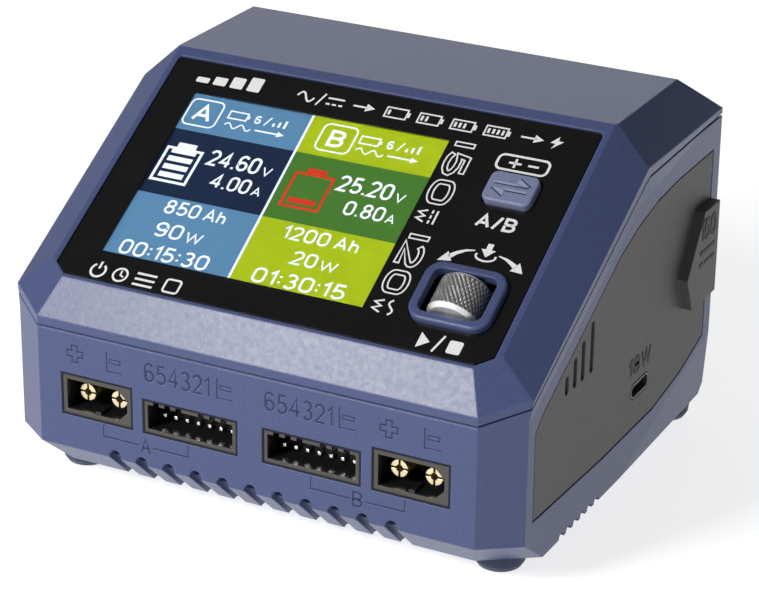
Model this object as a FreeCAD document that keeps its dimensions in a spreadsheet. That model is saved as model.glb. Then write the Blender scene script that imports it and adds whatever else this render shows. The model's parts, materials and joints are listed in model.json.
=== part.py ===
import FreeCAD, Part
import Sketcher
import math
import os
from FreeCAD import Placement, Rotation, Vector

# Twin-channel balance battery charger, in millimetres.
# +X is to the right, +Y to the back, +Z up; the origin is on the table, under the middle of the case.

doc = FreeCAD.newDocument("balance_charger")

DIMENSIONS = {
    # outer form of the case
    "case_width": 110.0,
    "case_depth": 97.0,
    "case_height": 75.4,
    "foot_height": 3.9,
    "wall": 2.6,
    "front_foot_z": 10.1,
    "front_bevel_depth": 6.6,
    "front_top_z": 36.9,
    "band_depth": 4.4,
    "band_top_z": 44.2,
    "slope_end_y": 7.65,
    "top_end_y": 38.4,
    "rear_bevel_z": 67.4,
    "rear_edge": 2.0,
    "front_corner_x": 47.3,
    "front_corner_y": 43.1,
    "top_corner_x": 48.7,
    # where the two shells meet
    "parting_front_z": 35.2,
    "parting_rise_end_y": 8.4,
    "parting_rear_z": 66.2,
    "groove": 0.5,
    # feet and case screws
    "front_foot_x": 46.0,
    "front_foot_y": 34.0,
    "rear_foot_x": 48.8,
    "rear_foot_y": 41.6,
    "foot_radius": 5.3,
    "post_radius": 4.0,
    "screw_radius": 1.5,
    "screw_length": 12.0,
    "front_seat_z": 33.5,
    "rear_seat_z": 57.5,
    # side covers
    "cover_recess": 1.5,
    "cover_thickness": 1.45,
    "cover_gap": 0.35,
    "badge_height": 2.2,
    # sloped control panel
    "recess_half_width": 47.1,
    "recess_bottom": 0.7,
    "recess_top": 58.0,
    "recess_depth": 0.75,
    "overlay_thickness": 0.6,
    "screen_left": 39.6,
    "screen_right": 18.2,
    "screen_bottom": 7.5,
    "screen_top": 49.9,
    # thumb roller and port button
    "roller_u": 35.1,
    "roller_v": 13.8,
    "roller_radius": 5.2,
    "roller_length": 8.2,
    "roller_depth": 1.5,
    "axle_radius": 0.75,
    "press_travel": 0.5,
    "button_u": 35.05,
    "button_v": 40.2,
    "button_width": 10.1,
    "button_depth": 7.2,
    "button_proud": 1.3,
    "button_travel": 0.4,
    # boards
    "board_thickness": 1.6,
    "control_board_depth": 13.4,
    "main_board_top": 17.5,
    # connectors
    "xt_x": 34.1,
    "xt_width": 15.6,
    "xt_height": 8.3,
    "xt_length": 16.0,
    "xt_contact_radius": 1.75,
    "xt_pitch": 7.2,
    "xh_x": 13.2,
    "xh_width": 20.4,
    "xh_height": 6.7,
    "xh_length": 11.5,
    "xh_pitch": 2.5,
    "xh_pin": 0.64,
    "usb_y": 10.6,
    "usb_width": 8.94,
    "usb_height": 3.26,
    "inlet_x": 30.5,
    "inlet_z": 22.75,
    # fan
    "fan_size": 40.0,
    "fan_thickness": 10.0,
    "fan_z": 38.0,
    "fan_hole_pitch": 32.0,
}


class Size:
    """A length held both as a number and as the sheet expression that gives it."""

    def __init__(self, value, text):
        self.value = value
        self.text = text

    def __add__(self, other):
        other = as_size(other)
        return Size(self.value + other.value, f"({self.text} + {other.text})")

    def __sub__(self, other):
        other = as_size(other)
        return Size(self.value - other.value, f"({self.text} - {other.text})")

    def __mul__(self, other):
        other = as_size(other)
        return Size(self.value * other.value, f"({self.text} * {other.text})")

    def __truediv__(self, other):
        other = as_size(other)
        return Size(self.value / other.value, f"({self.text} / {other.text})")

    def __radd__(self, other):
        return as_size(other) + self

    def __rsub__(self, other):
        return as_size(other) - self

    def __rmul__(self, other):
        return as_size(other) * self

    def __neg__(self):
        return self * -1.0


def as_size(thing):
    if isinstance(thing, Size):
        return thing
    number = float(thing)
    return Size(number, f"({number!r})")


def fill_sheet():
    """Write the driving dimensions and return them as one Size per alias."""
    sheet = doc.addObject("Spreadsheet::Sheet", "Sizes")
    sizes = {}
    for row, (alias, value) in enumerate(DIMENSIONS.items(), start=1):
        sheet.set(f"A{row}", alias)
        sheet.set(f"B{row}", str(value))
        sheet.setAlias(f"B{row}", alias)
        sizes[alias] = Size(value, f"Sizes.{alias}")
    doc.recompute()
    return sizes


D = fill_sheet()

X_AXIS = Vector(1, 0, 0)
Y_AXIS = Vector(0, 1, 0)
Z_AXIS = Vector(0, 0, 1)
FLAT = Rotation()
LOOK_ALONG_X = Rotation(Y_AXIS, Z_AXIS, X_AXIS)  # a sketch's x is +Y, its y is +Z and its normal is +X
LOOK_ALONG_Y = Rotation(X_AXIS, Z_AXIS, -Y_AXIS)  # a sketch's x is +X, its y is +Z and its normal is -Y

HALF_WIDTH = D["case_width"] / 2
HALF_DEPTH = D["case_depth"] / 2
BAND_TOP_Y = D["band_depth"] - HALF_DEPTH
SLOPE_RUN = D["slope_end_y"] - BAND_TOP_Y
SLOPE_RISE = D["case_height"] - D["band_top_z"]
SLOPE_ANGLE = math.degrees(math.atan2(SLOPE_RISE.value, SLOPE_RUN.value))

# The control panel's own frame: u to the right, v up the slope, w out of the slope.
PANEL = Placement(
    Vector(0, BAND_TOP_Y.value, D["band_top_z"].value), Rotation(X_AXIS, SLOPE_ANGLE)
)
HALF_SPACE = 240.0  # edge of the block that stands for everything beyond a plane
FAR = 60.0  # further out than any face of the case
PARALLEL = 1e-6  # two unit directions whose cross product is shorter than this run the same way

kept = []


# ---------------------------------------------------------------- helpers


def bind(item, path, length):
    """Set a property of an object, bound to the sheet."""
    item.setExpression(path, as_size(length).text)


def put(item, base, rotation=FLAT):
    """Place an object with its base bound to the sheet."""
    item.Placement = Placement(Vector(*[as_size(value).value for value in base]), rotation)
    for axis, value in zip("xyz", base):
        bind(item, f"Placement.Base.{axis}", value)


def block(name, low, high):
    """A box between two opposite corners."""
    box = doc.addObject("Part::Box", name)
    for prop, start, end in zip(("Length", "Width", "Height"), low, high):
        bind(box, prop, as_size(end) - start)
    put(box, low)
    return box


def centred_block(name, centre, lengths):
    low = [as_size(c) - as_size(length) / 2 for c, length in zip(centre, lengths)]
    high = [as_size(c) + as_size(length) / 2 for c, length in zip(centre, lengths)]
    return block(name, low, high)


def rod(name, radius, base, length, direction=Z_AXIS):
    """A cylinder from its base point along a direction."""
    cylinder = doc.addObject("Part::Cylinder", name)
    bind(cylinder, "Radius", radius)
    bind(cylinder, "Height", length)
    put(cylinder, base, Rotation(Z_AXIS, direction))
    return cylinder


def turned_box(name, lengths, low, turn):
    """A box with its low corner at a point of a turned frame."""
    box = doc.addObject("Part::Box", name)
    box.Length, box.Width, box.Height = lengths
    box.Placement = turn.multiply(Placement(Vector(*low), FLAT))
    return box


def cut(name, base, tools):
    tool = tools[0] if len(tools) == 1 else fuse(f"{name}_tools", tools)
    result = doc.addObject("Part::Cut", name)
    result.Base = base
    result.Tool = tool
    return result


def fuse(name, shapes):
    result = doc.addObject("Part::MultiFuse", name)
    result.Shapes = shapes
    return result


def common(name, shapes):
    result = doc.addObject("Part::MultiCommon", name)
    result.Shapes = shapes
    return result


def group(name, shapes):
    """Several separate solids kept as one sub-part."""
    result = doc.addObject("Part::Compound", name)
    result.Links = shapes
    return result


def mirrored(name, source):
    """The same shape on the other side of the middle plane."""
    result = doc.addObject("Part::Mirroring", name)
    result.Source = source
    result.Normal = X_AXIS
    return result


def draw(sketch, points):
    """Add a closed outline of straight lines whose corners are bound to the sheet."""
    count = len(points)
    corners = [Vector(as_size(x).value, as_size(y).value, 0) for x, y in points]
    first = sketch.GeometryCount
    for index, corner in enumerate(corners):
        sketch.addGeometry(Part.LineSegment(corner, corners[(index + 1) % count]), False)
    for index, point in enumerate(points):
        line = first + index
        following = first + (index + 1) % count
        sketch.addConstraint(Sketcher.Constraint("Coincident", line, 2, following, 1))
        for kind, value in zip(("DistanceX", "DistanceY"), point):
            datum = sketch.addConstraint(Sketcher.Constraint(kind, line, 1, as_size(value).value))
            sketch.setExpression(f"Constraints[{datum}]", as_size(value).text)


def draw_circle(sketch, centre, radius):
    x, y = [as_size(value) for value in centre]
    radius = as_size(radius)
    circle = sketch.addGeometry(
        Part.Circle(Vector(x.value, y.value, 0), Vector(0, 0, 1), radius.value), False
    )
    for constraint, value in (
        (Sketcher.Constraint("DistanceX", circle, 3, x.value), x),
        (Sketcher.Constraint("DistanceY", circle, 3, y.value), y),
        (Sketcher.Constraint("Radius", circle, radius.value), radius),
    ):
        datum = sketch.addConstraint(constraint)
        sketch.setExpression(f"Constraints[{datum}]", value.text)


def outline(name, points, rotation=FLAT, base=(0, 0, 0)):
    sketch = doc.addObject("Sketcher::SketchObject", name)
    draw(sketch, points)
    put(sketch, base, rotation)
    return sketch


def extrude(name, sketch, forward, backward=0.0):
    """A solid from a closed outline, along the outline's normal."""
    result = doc.addObject("Part::Extrusion", name)
    result.Base = sketch
    result.DirMode = "Normal"
    bind(result, "LengthFwd", forward)
    bind(result, "LengthRev", backward)
    result.Solid = True
    return result


def new_body(name):
    return doc.addObject("PartDesign::Body", name)


def body_sketch(body, name, role="XY_Plane"):
    """A sketch on one of the body's own origin planes."""
    plane = [item for item in body.Origin.OriginFeatures if item.Role == role][0]
    sketch = body.newObject("Sketcher::SketchObject", name)
    sketch.AttachmentSupport = [(plane, "")]
    sketch.MapMode = "FlatFace"
    return sketch


def pad(body, sketch, length):
    feature = body.newObject("PartDesign::Pad", f"{sketch.Name}_pad")
    feature.Profile = sketch
    bind(feature, "Length", length)
    return feature


def turned(name, points):
    """A body of revolution about its own Z axis from (radius, height) points."""
    body = new_body(name)
    sketch = body_sketch(body, f"{name}_section", "XZ_Plane")
    draw(sketch, points)
    feature = body.newObject("PartDesign::Revolution", f"{name}_turn")
    feature.Profile = sketch
    feature.ReferenceAxis = (sketch, ["V_Axis"])
    feature.Angle = 360.0
    return body


def plate(name, points, thickness, holes=()):
    """A flat body drawn on its own XY plane, with round holes."""
    body = new_body(name)
    sketch = body_sketch(body, f"{name}_outline")
    draw(sketch, points)
    for centre, radius in holes:
        draw_circle(sketch, centre, radius)
    pad(body, sketch, thickness)
    return body


def rectangle(left, right, bottom, top):
    return [(left, bottom), (right, bottom), (right, top), (left, top)]


def rounded_edges(name, base, radius, direction):
    """Round every straight edge that runs along a direction."""
    doc.recompute()
    result = doc.addObject("Part::Fillet", name)
    result.Base = base
    result.Edges = [
        (index, radius, radius)
        for index, edge in enumerate(base.Shape.Edges, start=1)
        if isinstance(edge.Curve, Part.Line) and edge.Curve.Direction.cross(direction).Length < PARALLEL
    ]
    return result


def rounded_top(name, base, radius):
    """Round the rim of the highest flat face."""
    doc.recompute()
    top = max(base.Shape.Faces, key=lambda face: face.CenterOfMass.z)
    result = doc.addObject("Part::Fillet", name)
    result.Base = base
    result.Edges = [
        (index, radius, radius)
        for index, edge in enumerate(base.Shape.Edges, start=1)
        if any(edge.isSame(rim) for rim in top.Edges)
    ]
    return result


def keep(name, item, placement=None):
    """Mark an object as a sub-part: its label names its file."""
    if placement is not None and item.TypeId == "PartDesign::Body":
        item.Placement = placement
    elif placement is not None:
        item = group(f"{name}_placed", [item])
        item.Placement = placement
    item.Label = name
    kept.append((name, item))
    return item


def on_panel(u, v, w, rotation=FLAT):
    """A placement given in the control panel's frame."""
    return PANEL.multiply(Placement(Vector(u, v, w), rotation))


# ---------------------------------------------------------------- outer form of the case


def beyond(name, points, inset):
    """Everything outside the plane through three points, moved inwards by inset."""
    first, second, third = [Vector(*[as_size(value).value for value in point]) for point in points]
    normal = (second - first).cross(third - first).normalize()
    inside = Vector(0, 0, as_size(D["fan_z"]).value)
    if normal.dot(inside - first) > 0:
        normal = -normal
    rotation = Rotation(Z_AXIS, normal)
    corner = rotation.multVec(Vector(-HALF_SPACE / 2, -HALF_SPACE / 2, 0))
    base = first - normal * as_size(inset).value + corner
    box = doc.addObject("Part::Box", name)
    box.Length = HALF_SPACE
    box.Width = HALF_SPACE
    box.Height = HALF_SPACE
    box.Placement = Placement(base, rotation)
    return box


def case_profile():
    """The side view: front bevel, upright front, steep band, long slope, flat top and rear bevel."""
    return [
        (D["front_bevel_depth"] - HALF_DEPTH, D["foot_height"]),
        (HALF_DEPTH - D["rear_edge"], D["foot_height"]),
        (HALF_DEPTH, D["foot_height"] + D["rear_edge"]),
        (HALF_DEPTH, D["rear_bevel_z"]),
        (D["top_end_y"], D["case_height"]),
        (D["slope_end_y"], D["case_height"]),
        (BAND_TOP_Y, D["band_top_z"]),
        (-HALF_DEPTH, D["front_top_z"]),
        (-HALF_DEPTH, D["front_foot_z"]),
    ]


PROFILE = outline("case_side_view", case_profile(), LOOK_ALONG_X)

# Each bevel is a ruled face between its ridge and its outer edge, both straight in (y, x, z).
# The outer edge stands past the upright wall, on a flare that runs under it.
RIM_CORNER = (6.7, 56.2, 68.5)
BEVELS = {
    "slope": {
        "ridge": ((BAND_TOP_Y, 48.3, D["band_top_z"]), (D["slope_end_y"], 48.3, D["case_height"])),
        "outer": ((-43.4, 55.65, 39.4), RIM_CORNER),
        "ends": (-60.0, 20.0),
    },
    "top": {
        "ridge": (
            (D["slope_end_y"], D["top_corner_x"], D["case_height"]),
            (D["top_end_y"], D["top_corner_x"], D["case_height"]),
        ),
        "outer": (RIM_CORNER, (HALF_DEPTH, 55.0, 67.5)),
        "ends": (-10.0, 60.0),
    },
}
RIM_REACH = 57.5  # half the width of the slab that the form is trimmed from
FLARE_FOOT_Z = 60.5  # where the flare under the rim corner meets the upright wall

# The small facets at the front corners and along the rear bottom edge.
SLOPE_CORNER_X = 44.05
SLOPE_CORNER_RISE = 2.9
BOTTOM_CORNER_RUN = 8.6
REAR_FACET_RISE = 14.0
REAR_FACET_CUT = 0.8


def on_line(ends, y):
    """Where a straight edge is at one y: its x and z, and how steeply it rises."""
    start, end = [[as_size(value).value for value in point] for point in ends]
    share = (y - start[0]) / (end[0] - start[0])
    x = start[1] + share * (end[1] - start[1])
    z = start[2] + share * (end[2] - start[2])
    return x, z, (end[2] - start[2]) / (end[0] - start[0])


def bevel_section(name, side, y, bevel, inset):
    """What a bevel takes away at one y, moved inwards by inset."""
    ridge_x, ridge_z, rise = on_line(bevel["ridge"], y)
    outer_x, outer_z, _ = on_line(bevel["outer"], y)
    fall = (outer_z - ridge_z) / (outer_x - ridge_x)
    drop = as_size(inset).value * math.sqrt(1 + fall**2 + rise**2)
    inwards = 3.0
    outwards = 20.0
    points = [
        (side * (ridge_x - inwards), ridge_z - drop - fall * inwards),
        (side * (ridge_x + outwards), ridge_z - drop + fall * outwards),
        (side * (ridge_x + outwards), ridge_z + FAR),
        (side * (ridge_x - inwards), ridge_z + FAR),
    ]
    return outline(name, points, LOOK_ALONG_Y, (0, y, 0))


def bevel_tool(name, side, bevel, inset):
    loft = doc.addObject("Part::Loft", name)
    loft.Sections = [
        bevel_section(f"{name}_end_{index}", side, y, bevel, inset)
        for index, y in enumerate(bevel["ends"])
    ]
    loft.Solid = True
    loft.Ruled = True
    return loft


def beyond_wall(name, side, inset):
    """Everything outside an upright wall, apart from the two flares under its rim."""
    wall_x = side * HALF_WIDTH
    foot = (wall_x, RIM_CORNER[0], FLARE_FOOT_Z)
    planes = [
        [(wall_x, 0, 0), (wall_x, 10, 0), (wall_x, 0, 10)],
        [foot] + [(side * x, y, z) for y, x, z in BEVELS["slope"]["outer"]],
        [foot] + [(side * x, y, z) for y, x, z in BEVELS["top"]["outer"]],
    ]
    return common(
        name, [beyond(f"{name}_{index}", points, inset) for index, points in enumerate(planes)]
    )


def side_facets(side):
    """Three points on each flat facet that trims one side of the case."""
    corner_x = side * D["front_corner_x"]
    corner_y = -D["front_corner_y"]
    edge_x = side * HALF_WIDTH
    return {
        "corner": [
            (corner_x, -HALF_DEPTH, 0),
            (edge_x, corner_y, 0),
            (edge_x, corner_y, 10),
        ],
        "bottom_corner": [
            (corner_x, -HALF_DEPTH, D["front_foot_z"]),
            (edge_x, corner_y, D["front_foot_z"]),
            (edge_x, corner_y + BOTTOM_CORNER_RUN, D["foot_height"]),
        ],
        "slope_corner": [
            (side * SLOPE_CORNER_X, BAND_TOP_Y, D["band_top_z"]),
            (corner_x, -HALF_DEPTH, D["front_top_z"]),
            (edge_x, corner_y, D["front_top_z"] + SLOPE_CORNER_RISE),
        ],
        "low_rear": [
            (edge_x, 2, D["foot_height"]),
            (edge_x, HALF_DEPTH, D["foot_height"] + REAR_FACET_RISE),
            (edge_x - side * REAR_FACET_CUT, HALF_DEPTH, D["foot_height"]),
        ],
    }


def case_form(name, inset):
    """The whole outer form, or the same form shrunk by inset on every face."""
    section = PROFILE
    if as_size(inset).value > 0:
        section = doc.addObject("Part::Offset2D", f"{name}_section")
        section.Source = PROFILE
        section.Join = "Intersection"
        bind(section, "Value", -inset)
    slab = extrude(f"{name}_slab", section, RIM_REACH - inset, RIM_REACH - inset)
    trims = []
    for side, label in ((1, "right"), (-1, "left")):
        for facet, points in side_facets(side).items():
            trims.append(beyond(f"{name}_{facet}_{label}", points, inset))
        for bevel, lines in BEVELS.items():
            trims.append(bevel_tool(f"{name}_{bevel}_bevel_{label}", side, lines, inset))
        trims.append(beyond_wall(f"{name}_wall_{label}", side, inset))
    solid = slab
    for index, trim in enumerate(trims):
        solid = cut(f"{name}_trim_{index}", solid, [trim])
    return solid


GROOVE_DEPTH = 0.7

OUTER = case_form("outer_form", 0.0)
CAVITY = case_form("cavity_form", D["wall"])
GROOVE_FLOOR = case_form("groove_floor_form", as_size(GROOVE_DEPTH))


def below_parting(name, drop):
    """Everything under the surface where the shells meet, lowered by drop."""
    rise = (D["parting_rear_z"] - D["parting_front_z"]) / (HALF_DEPTH + D["parting_rise_end_y"])
    front_z = D["parting_front_z"] - rise * (FAR - HALF_DEPTH)
    points = [
        (-FAR, -10.0),
        (FAR, -10.0),
        (FAR, D["parting_rear_z"] - drop),
        (D["parting_rise_end_y"], D["parting_rear_z"] - drop),
        (-FAR, front_z - drop),
    ]
    sketch = outline(f"{name}_line", points, LOOK_ALONG_X)
    return extrude(name, sketch, FAR, FAR)


BELOW = below_parting("below_parting", 0.0)
BELOW_GROOVE = below_parting("below_groove", D["groove"])
SHELL = cut("hollow_form", OUTER, [CAVITY])

FOOT_PLACES = {
    "front_left": (-D["front_foot_x"], -D["front_foot_y"], D["front_seat_z"]),
    "front_right": (D["front_foot_x"], -D["front_foot_y"], D["front_seat_z"]),
    "rear_left": (-D["rear_foot_x"], D["rear_foot_y"], D["rear_seat_z"]),
    "rear_right": (D["rear_foot_x"], D["rear_foot_y"], D["rear_seat_z"]),
}


HEAD_BORE_RADIUS = 3.1
SHANK_BORE_LENGTH = 12.5


def posts_and_bores():
    """The four screw posts through both shells, and the stepped bores in them."""
    posts = []
    bores = []
    for label, (x, y, seat) in FOOT_PLACES.items():
        posts.append(
            rod(f"post_{label}", D["post_radius"], (x, y, D["foot_height"]), D["case_height"])
        )
        bores.append(rod(f"head_bore_{label}", HEAD_BORE_RADIUS, (x, y, 0), seat))
        shank_end = seat + SHANK_BORE_LENGTH
        bores.append(rod(f"shank_bore_{label}", D["screw_radius"] + 0.1, (x, y, 0), shank_end))
    return posts, bores


POSTS, BORES = posts_and_bores()
POSTS_INSIDE = common("posts_inside", [OUTER, fuse("four_posts", POSTS)])


# ---------------------------------------------------------------- openings in the bottom shell

COVER_OUTLINE = [
    (-39.9, 13.6),
    (-8.3, 12.4),
    (18.0, 12.4),
    (33.0, 14.7),
    (44.9, 18.4),
    (44.9, 59.7),
    (26.4, 59.5),
    (15.5, 58.6),
    (6.0, 56.5),
    (-3.2, 53.2),
    (-27.5, 39.9),
    (-37.4, 34.4),
    (-40.2, 31.8),
]
VENT_SLOTS = [(-26.2, 37.8), (-22.5, 40.1), (-18.9, 42.2), (-14.8, 44.6)]
VENT_FOOT_Z = 33.9
VENT_HALF_WIDTH = 0.85


def cover_sheet(name, start, end, gap):
    """The side cover's outline as a slab between two distances from the middle."""
    sketch = outline(f"{name}_line", COVER_OUTLINE, LOOK_ALONG_X, (start, 0, 0))
    if as_size(gap).value == 0:
        return extrude(name, sketch, as_size(end) - start)
    inner = doc.addObject("Part::Offset2D", f"{name}_inner")
    inner.Source = sketch
    inner.Join = "Intersection"
    bind(inner, "Value", -gap)
    return extrude(name, inner, as_size(end) - start)


ALONG_X = (1, 0, 0)
ALONG_Y = (0, 1, 0)
ALONG_Z = (0, 0, 1)


def stadium_rods(name, centre, half_length, radius, start, length, direction, along):
    """A slot with round ends: two rods in a direction and a block between them."""
    ends = []
    for index, sign in enumerate((-1, 1)):
        base = [as_size(c) + sign * as_size(half_length) * a for c, a in zip(centre, along)]
        base = [b + as_size(start) * d for b, d in zip(base, direction)]
        ends.append(rod(f"{name}_end_{index}", radius, base, length, Vector(*direction)))
    low = []
    high = []
    across = [1 - a - d for a, d in zip(along, direction)]
    for c, a, d, s in zip(centre, along, direction, across):
        reach = as_size(half_length) * a + as_size(radius) * s
        low.append(as_size(c) - reach + as_size(start) * d)
        high.append(as_size(c) + reach + (as_size(start) + length) * d)
    ends.append(block(f"{name}_middle", low, high))
    return ends


def side_vents(prefix, start, length):
    tools = []
    for index, (y, top) in enumerate(VENT_SLOTS):
        middle = (top + VENT_FOOT_Z) / 2
        half = (top - VENT_FOOT_Z) / 2 - VENT_HALF_WIDTH
        name = f"{prefix}_vent_{index}"
        centre = (0, y, middle)
        tools += stadium_rods(name, centre, half, VENT_HALF_WIDTH, start, length, ALONG_X, ALONG_Z)
    return tools


def usb_hole(prefix, gap, start, length):
    radius = D["usb_height"] / 2 + gap
    half = (D["usb_width"] - D["usb_height"]) / 2
    centre = (0, D["usb_y"], USB_Z)
    return stadium_rods(f"{prefix}_usb", centre, half, radius, start, length, ALONG_X, ALONG_Y)


NOTCH_COUNT = 11
NOTCH_PITCH = 6.05
NOTCH_RADIUS = 1.4
NOTCH_Z = 10.4
EDGE_NOTCH_COUNT = 6
EDGE_NOTCH_FIRST_Y = -25.9
EDGE_NOTCH_PITCH = 3.32
EDGE_NOTCH_RADIUS = 1.15
FLOOR_VENT_COUNT = 9
FLOOR_VENT_PITCH = 6.0


def front_notches():
    """Eleven round-topped vents whose grooves run down the front bevel."""
    tools = []
    fall = D["front_foot_z"].value - D["foot_height"].value
    down_bevel = Vector(0, D["front_bevel_depth"].value, -fall).normalize()
    for index in range(NOTCH_COUNT):
        x = (index - NOTCH_COUNT // 2) * NOTCH_PITCH
        start = (x, -HALF_DEPTH - 0.6, NOTCH_Z)
        tools.append(rod(f"notch_hole_{index}", NOTCH_RADIUS, start, 5.0, Y_AXIS))
        groove_start = (x, -HALF_DEPTH + 0.4, NOTCH_Z + 0.2)
        tools.append(rod(f"notch_groove_{index}", NOTCH_RADIUS, groove_start, 12.0, down_bevel))
    return tools


def bottom_edge_notches():
    """Small half-round vents along the bottom edge of each side."""
    tools = []
    for side, label in ((1, "right"), (-1, "left")):
        for index in range(EDGE_NOTCH_COUNT):
            y = EDGE_NOTCH_FIRST_Y + EDGE_NOTCH_PITCH * index
            base = (side * (HALF_WIDTH - 6.0), y, D["foot_height"])
            name = f"edge_notch_{label}_{index}"
            tools.append(rod(name, EDGE_NOTCH_RADIUS, base, 8.0, X_AXIS * side))
    return tools


def floor_vents():
    """A row of slots through the floor of the case."""
    slots = []
    for index in range(FLOOR_VENT_COUNT):
        x = (index - FLOOR_VENT_COUNT // 2) * FLOOR_VENT_PITCH
        slots.append(centred_block(f"floor_vent_{index}", (x, -8.0, D["foot_height"]), (2.2, 26.0, 8.0)))
    return slots


def fan_grille():
    """Ring slots in the rear wall, crossed by four spokes."""
    rings = []
    centre = (0, HALF_DEPTH - 4.0, D["fan_z"])
    slot_width = 2.6
    for index, radius in enumerate((6.0, 10.2, 14.4, 18.6)):
        outer = rod(f"grille_outer_{index}", radius, centre, 6.0, Y_AXIS)
        inner = rod(f"grille_inner_{index}", radius - slot_width, centre, 6.0, Y_AXIS)
        rings.append(cut(f"grille_ring_{index}", outer, [inner]))
    hub = Vector(0, HALF_DEPTH.value - 5.0, D["fan_z"].value)
    spokes = []
    for index in range(4):
        turn = Placement(hub, Rotation(Y_AXIS, 45.0 * index))
        spokes.append(turned_box(f"grille_spoke_{index}", (44.0, 8.0, 2.0), (-22.0, 0, -1.0), turn))
    return cut("grille_slots", fuse("grille_rings", rings), [fuse("grille_spokes", spokes)])


def fan_corners():
    """The fan's four screw places, as x and z offsets from its middle."""
    half = D["fan_hole_pitch"] / 2
    return [(i * half, j * half) for i in (-1, 1) for j in (-1, 1)]


def fan_screw_bores():
    start = HALF_DEPTH - 6.0
    return [
        rod(f"fan_bore_{index}", 1.7, (x, start, D["fan_z"] + z), 10.0, Y_AXIS)
        for index, (x, z) in enumerate(fan_corners())
    ]


BOARD_PLACES = [(-44.0, -14.0), (44.0, -14.0), (-46.0, 31.0), (46.0, 31.0)]


def board_standoffs():
    """Four hollow pillars that the main board is screwed to."""
    top = D["main_board_top"] - D["board_thickness"]
    height = top - D["foot_height"]
    pillars = [
        rod(f"standoff_{index}", 3.2, (x, y, D["foot_height"]), height)
        for index, (x, y) in enumerate(BOARD_PLACES)
    ]
    bores = [
        rod(f"standoff_bore_{index}", 1.3, (x, y, top - 7.0), 9.0)
        for index, (x, y) in enumerate(BOARD_PLACES)
    ]
    return pillars, bores


USB_Z = D["main_board_top"] + D["board_thickness"] + D["usb_height"] / 2
XT_Z = D["main_board_top"] + D["xt_height"] / 2
XH_Z = D["main_board_top"] + D["xh_height"] / 2
SHELL_GAP = 0.3
DC_INPUT_X = 31.0
INLET_WIDTH = 19.0
INLET_HEIGHT = 10.5


def connector_windows():
    """Rectangular windows for the front and rear connectors."""
    tools = []
    gap = 2 * SHELL_GAP
    for side in (-1, 1):
        xt_sizes = (D["xt_width"] + gap, 12.0, D["xt_height"] + gap)
        xh_sizes = (D["xh_width"] + gap, 12.0, D["xh_height"] + gap)
        tools.append(centred_block("xt_window", (side * D["xt_x"], -HALF_DEPTH, XT_Z), xt_sizes))
        tools.append(centred_block("xh_window", (side * D["xh_x"], -HALF_DEPTH, XH_Z), xh_sizes))
    dc_sizes = (D["xt_width"] + gap, 12.0, D["xt_height"] + gap)
    tools.append(centred_block("dc_window", (DC_INPUT_X, HALF_DEPTH, XT_Z), dc_sizes))
    inlet_sizes = (INLET_WIDTH + gap, 12.0, INLET_HEIGHT + gap)
    tools.append(centred_block("inlet_window", (-D["inlet_x"], HALF_DEPTH, D["inlet_z"]), inlet_sizes))
    return tools


def make_bottom_shell():
    lower = common("lower_half", [SHELL, BELOW])
    lower_posts = common("lower_posts", [POSTS_INSIDE, BELOW])
    pillars, pillar_bores = board_standoffs()
    solid = fuse("bottom_with_posts", [lower, lower_posts] + pillars)
    groove_slab = cut("groove_slab", BELOW, [BELOW_GROOVE])
    groove = cut("groove_ring", groove_slab, [GROOVE_FLOOR])
    right_recess = cover_sheet("cover_recess_right", HALF_WIDTH - D["cover_recess"], FAR, 0)
    left_recess = cover_sheet("cover_recess_left", -FAR, D["cover_recess"] - HALF_WIDTH, 0)
    vents = side_vents("shell", -FAR, 2 * FAR)
    solid = cut("bottom_grooved", solid, [groove])
    solid = cut("bottom_recessed", solid, [right_recess, left_recess])
    solid = cut("bottom_vented", solid, vents + floor_vents())
    solid = cut("bottom_notched", solid, front_notches() + bottom_edge_notches())
    solid = cut("bottom_grille", solid, [fan_grille()])
    small = BORES + pillar_bores + usb_hole("shell", 0.5, 50.0, 10.0) + connector_windows()
    small += fan_screw_bores()
    return keep("bottom_shell", cut("bottom_shell", solid, small))


# ---------------------------------------------------------------- openings in the top shell


def panel_rounded(name, left, right, bottom, top, low, high, radius):
    """A block in the panel's frame with rounded upright corners."""
    box = block(f"{name}_block", (left, bottom, low), (right, top, high))
    return rounded_edges(name, box, radius, Z_AXIS)


def overlay_corners(inset):
    """The display overlay's outline with its two lower corners cut."""
    half = D["recess_half_width"] - inset
    low = D["recess_bottom"] + inset
    high = D["recess_top"] - inset
    cut_u = 3.0
    cut_v = 2.4
    nick = 0.6
    return [
        (-half + cut_u, low),
        (half - cut_u, low),
        (half, low + cut_v),
        (half, high - nick),
        (half - nick, high),
        (-half + nick, high),
        (-half, high - nick),
        (-half, low + cut_v),
    ]


BUTTON_GAP = 0.3
APERTURE = (27.3, 42.9, 7.9, 20.4)  # the roller's hole in the shell: left, right, bottom, top
CUT_LOW = -8.0  # the heights between which a cutter passes right through the sloped wall
CUT_HIGH = 6.0
CONTROL_BOSSES = [(-38.0, 5.2), (43.0, 29.0), (-42.5, 54.2), (42.5, 54.2)]


def button_box(name, gap, low, high, radius):
    half_u = D["button_width"] / 2 + gap
    half_v = D["button_depth"] / 2 + gap
    u = D["button_u"]
    v = D["button_v"]
    return panel_rounded(name, u - half_u, u + half_u, v - half_v, v + half_v, low, high, radius)


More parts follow.
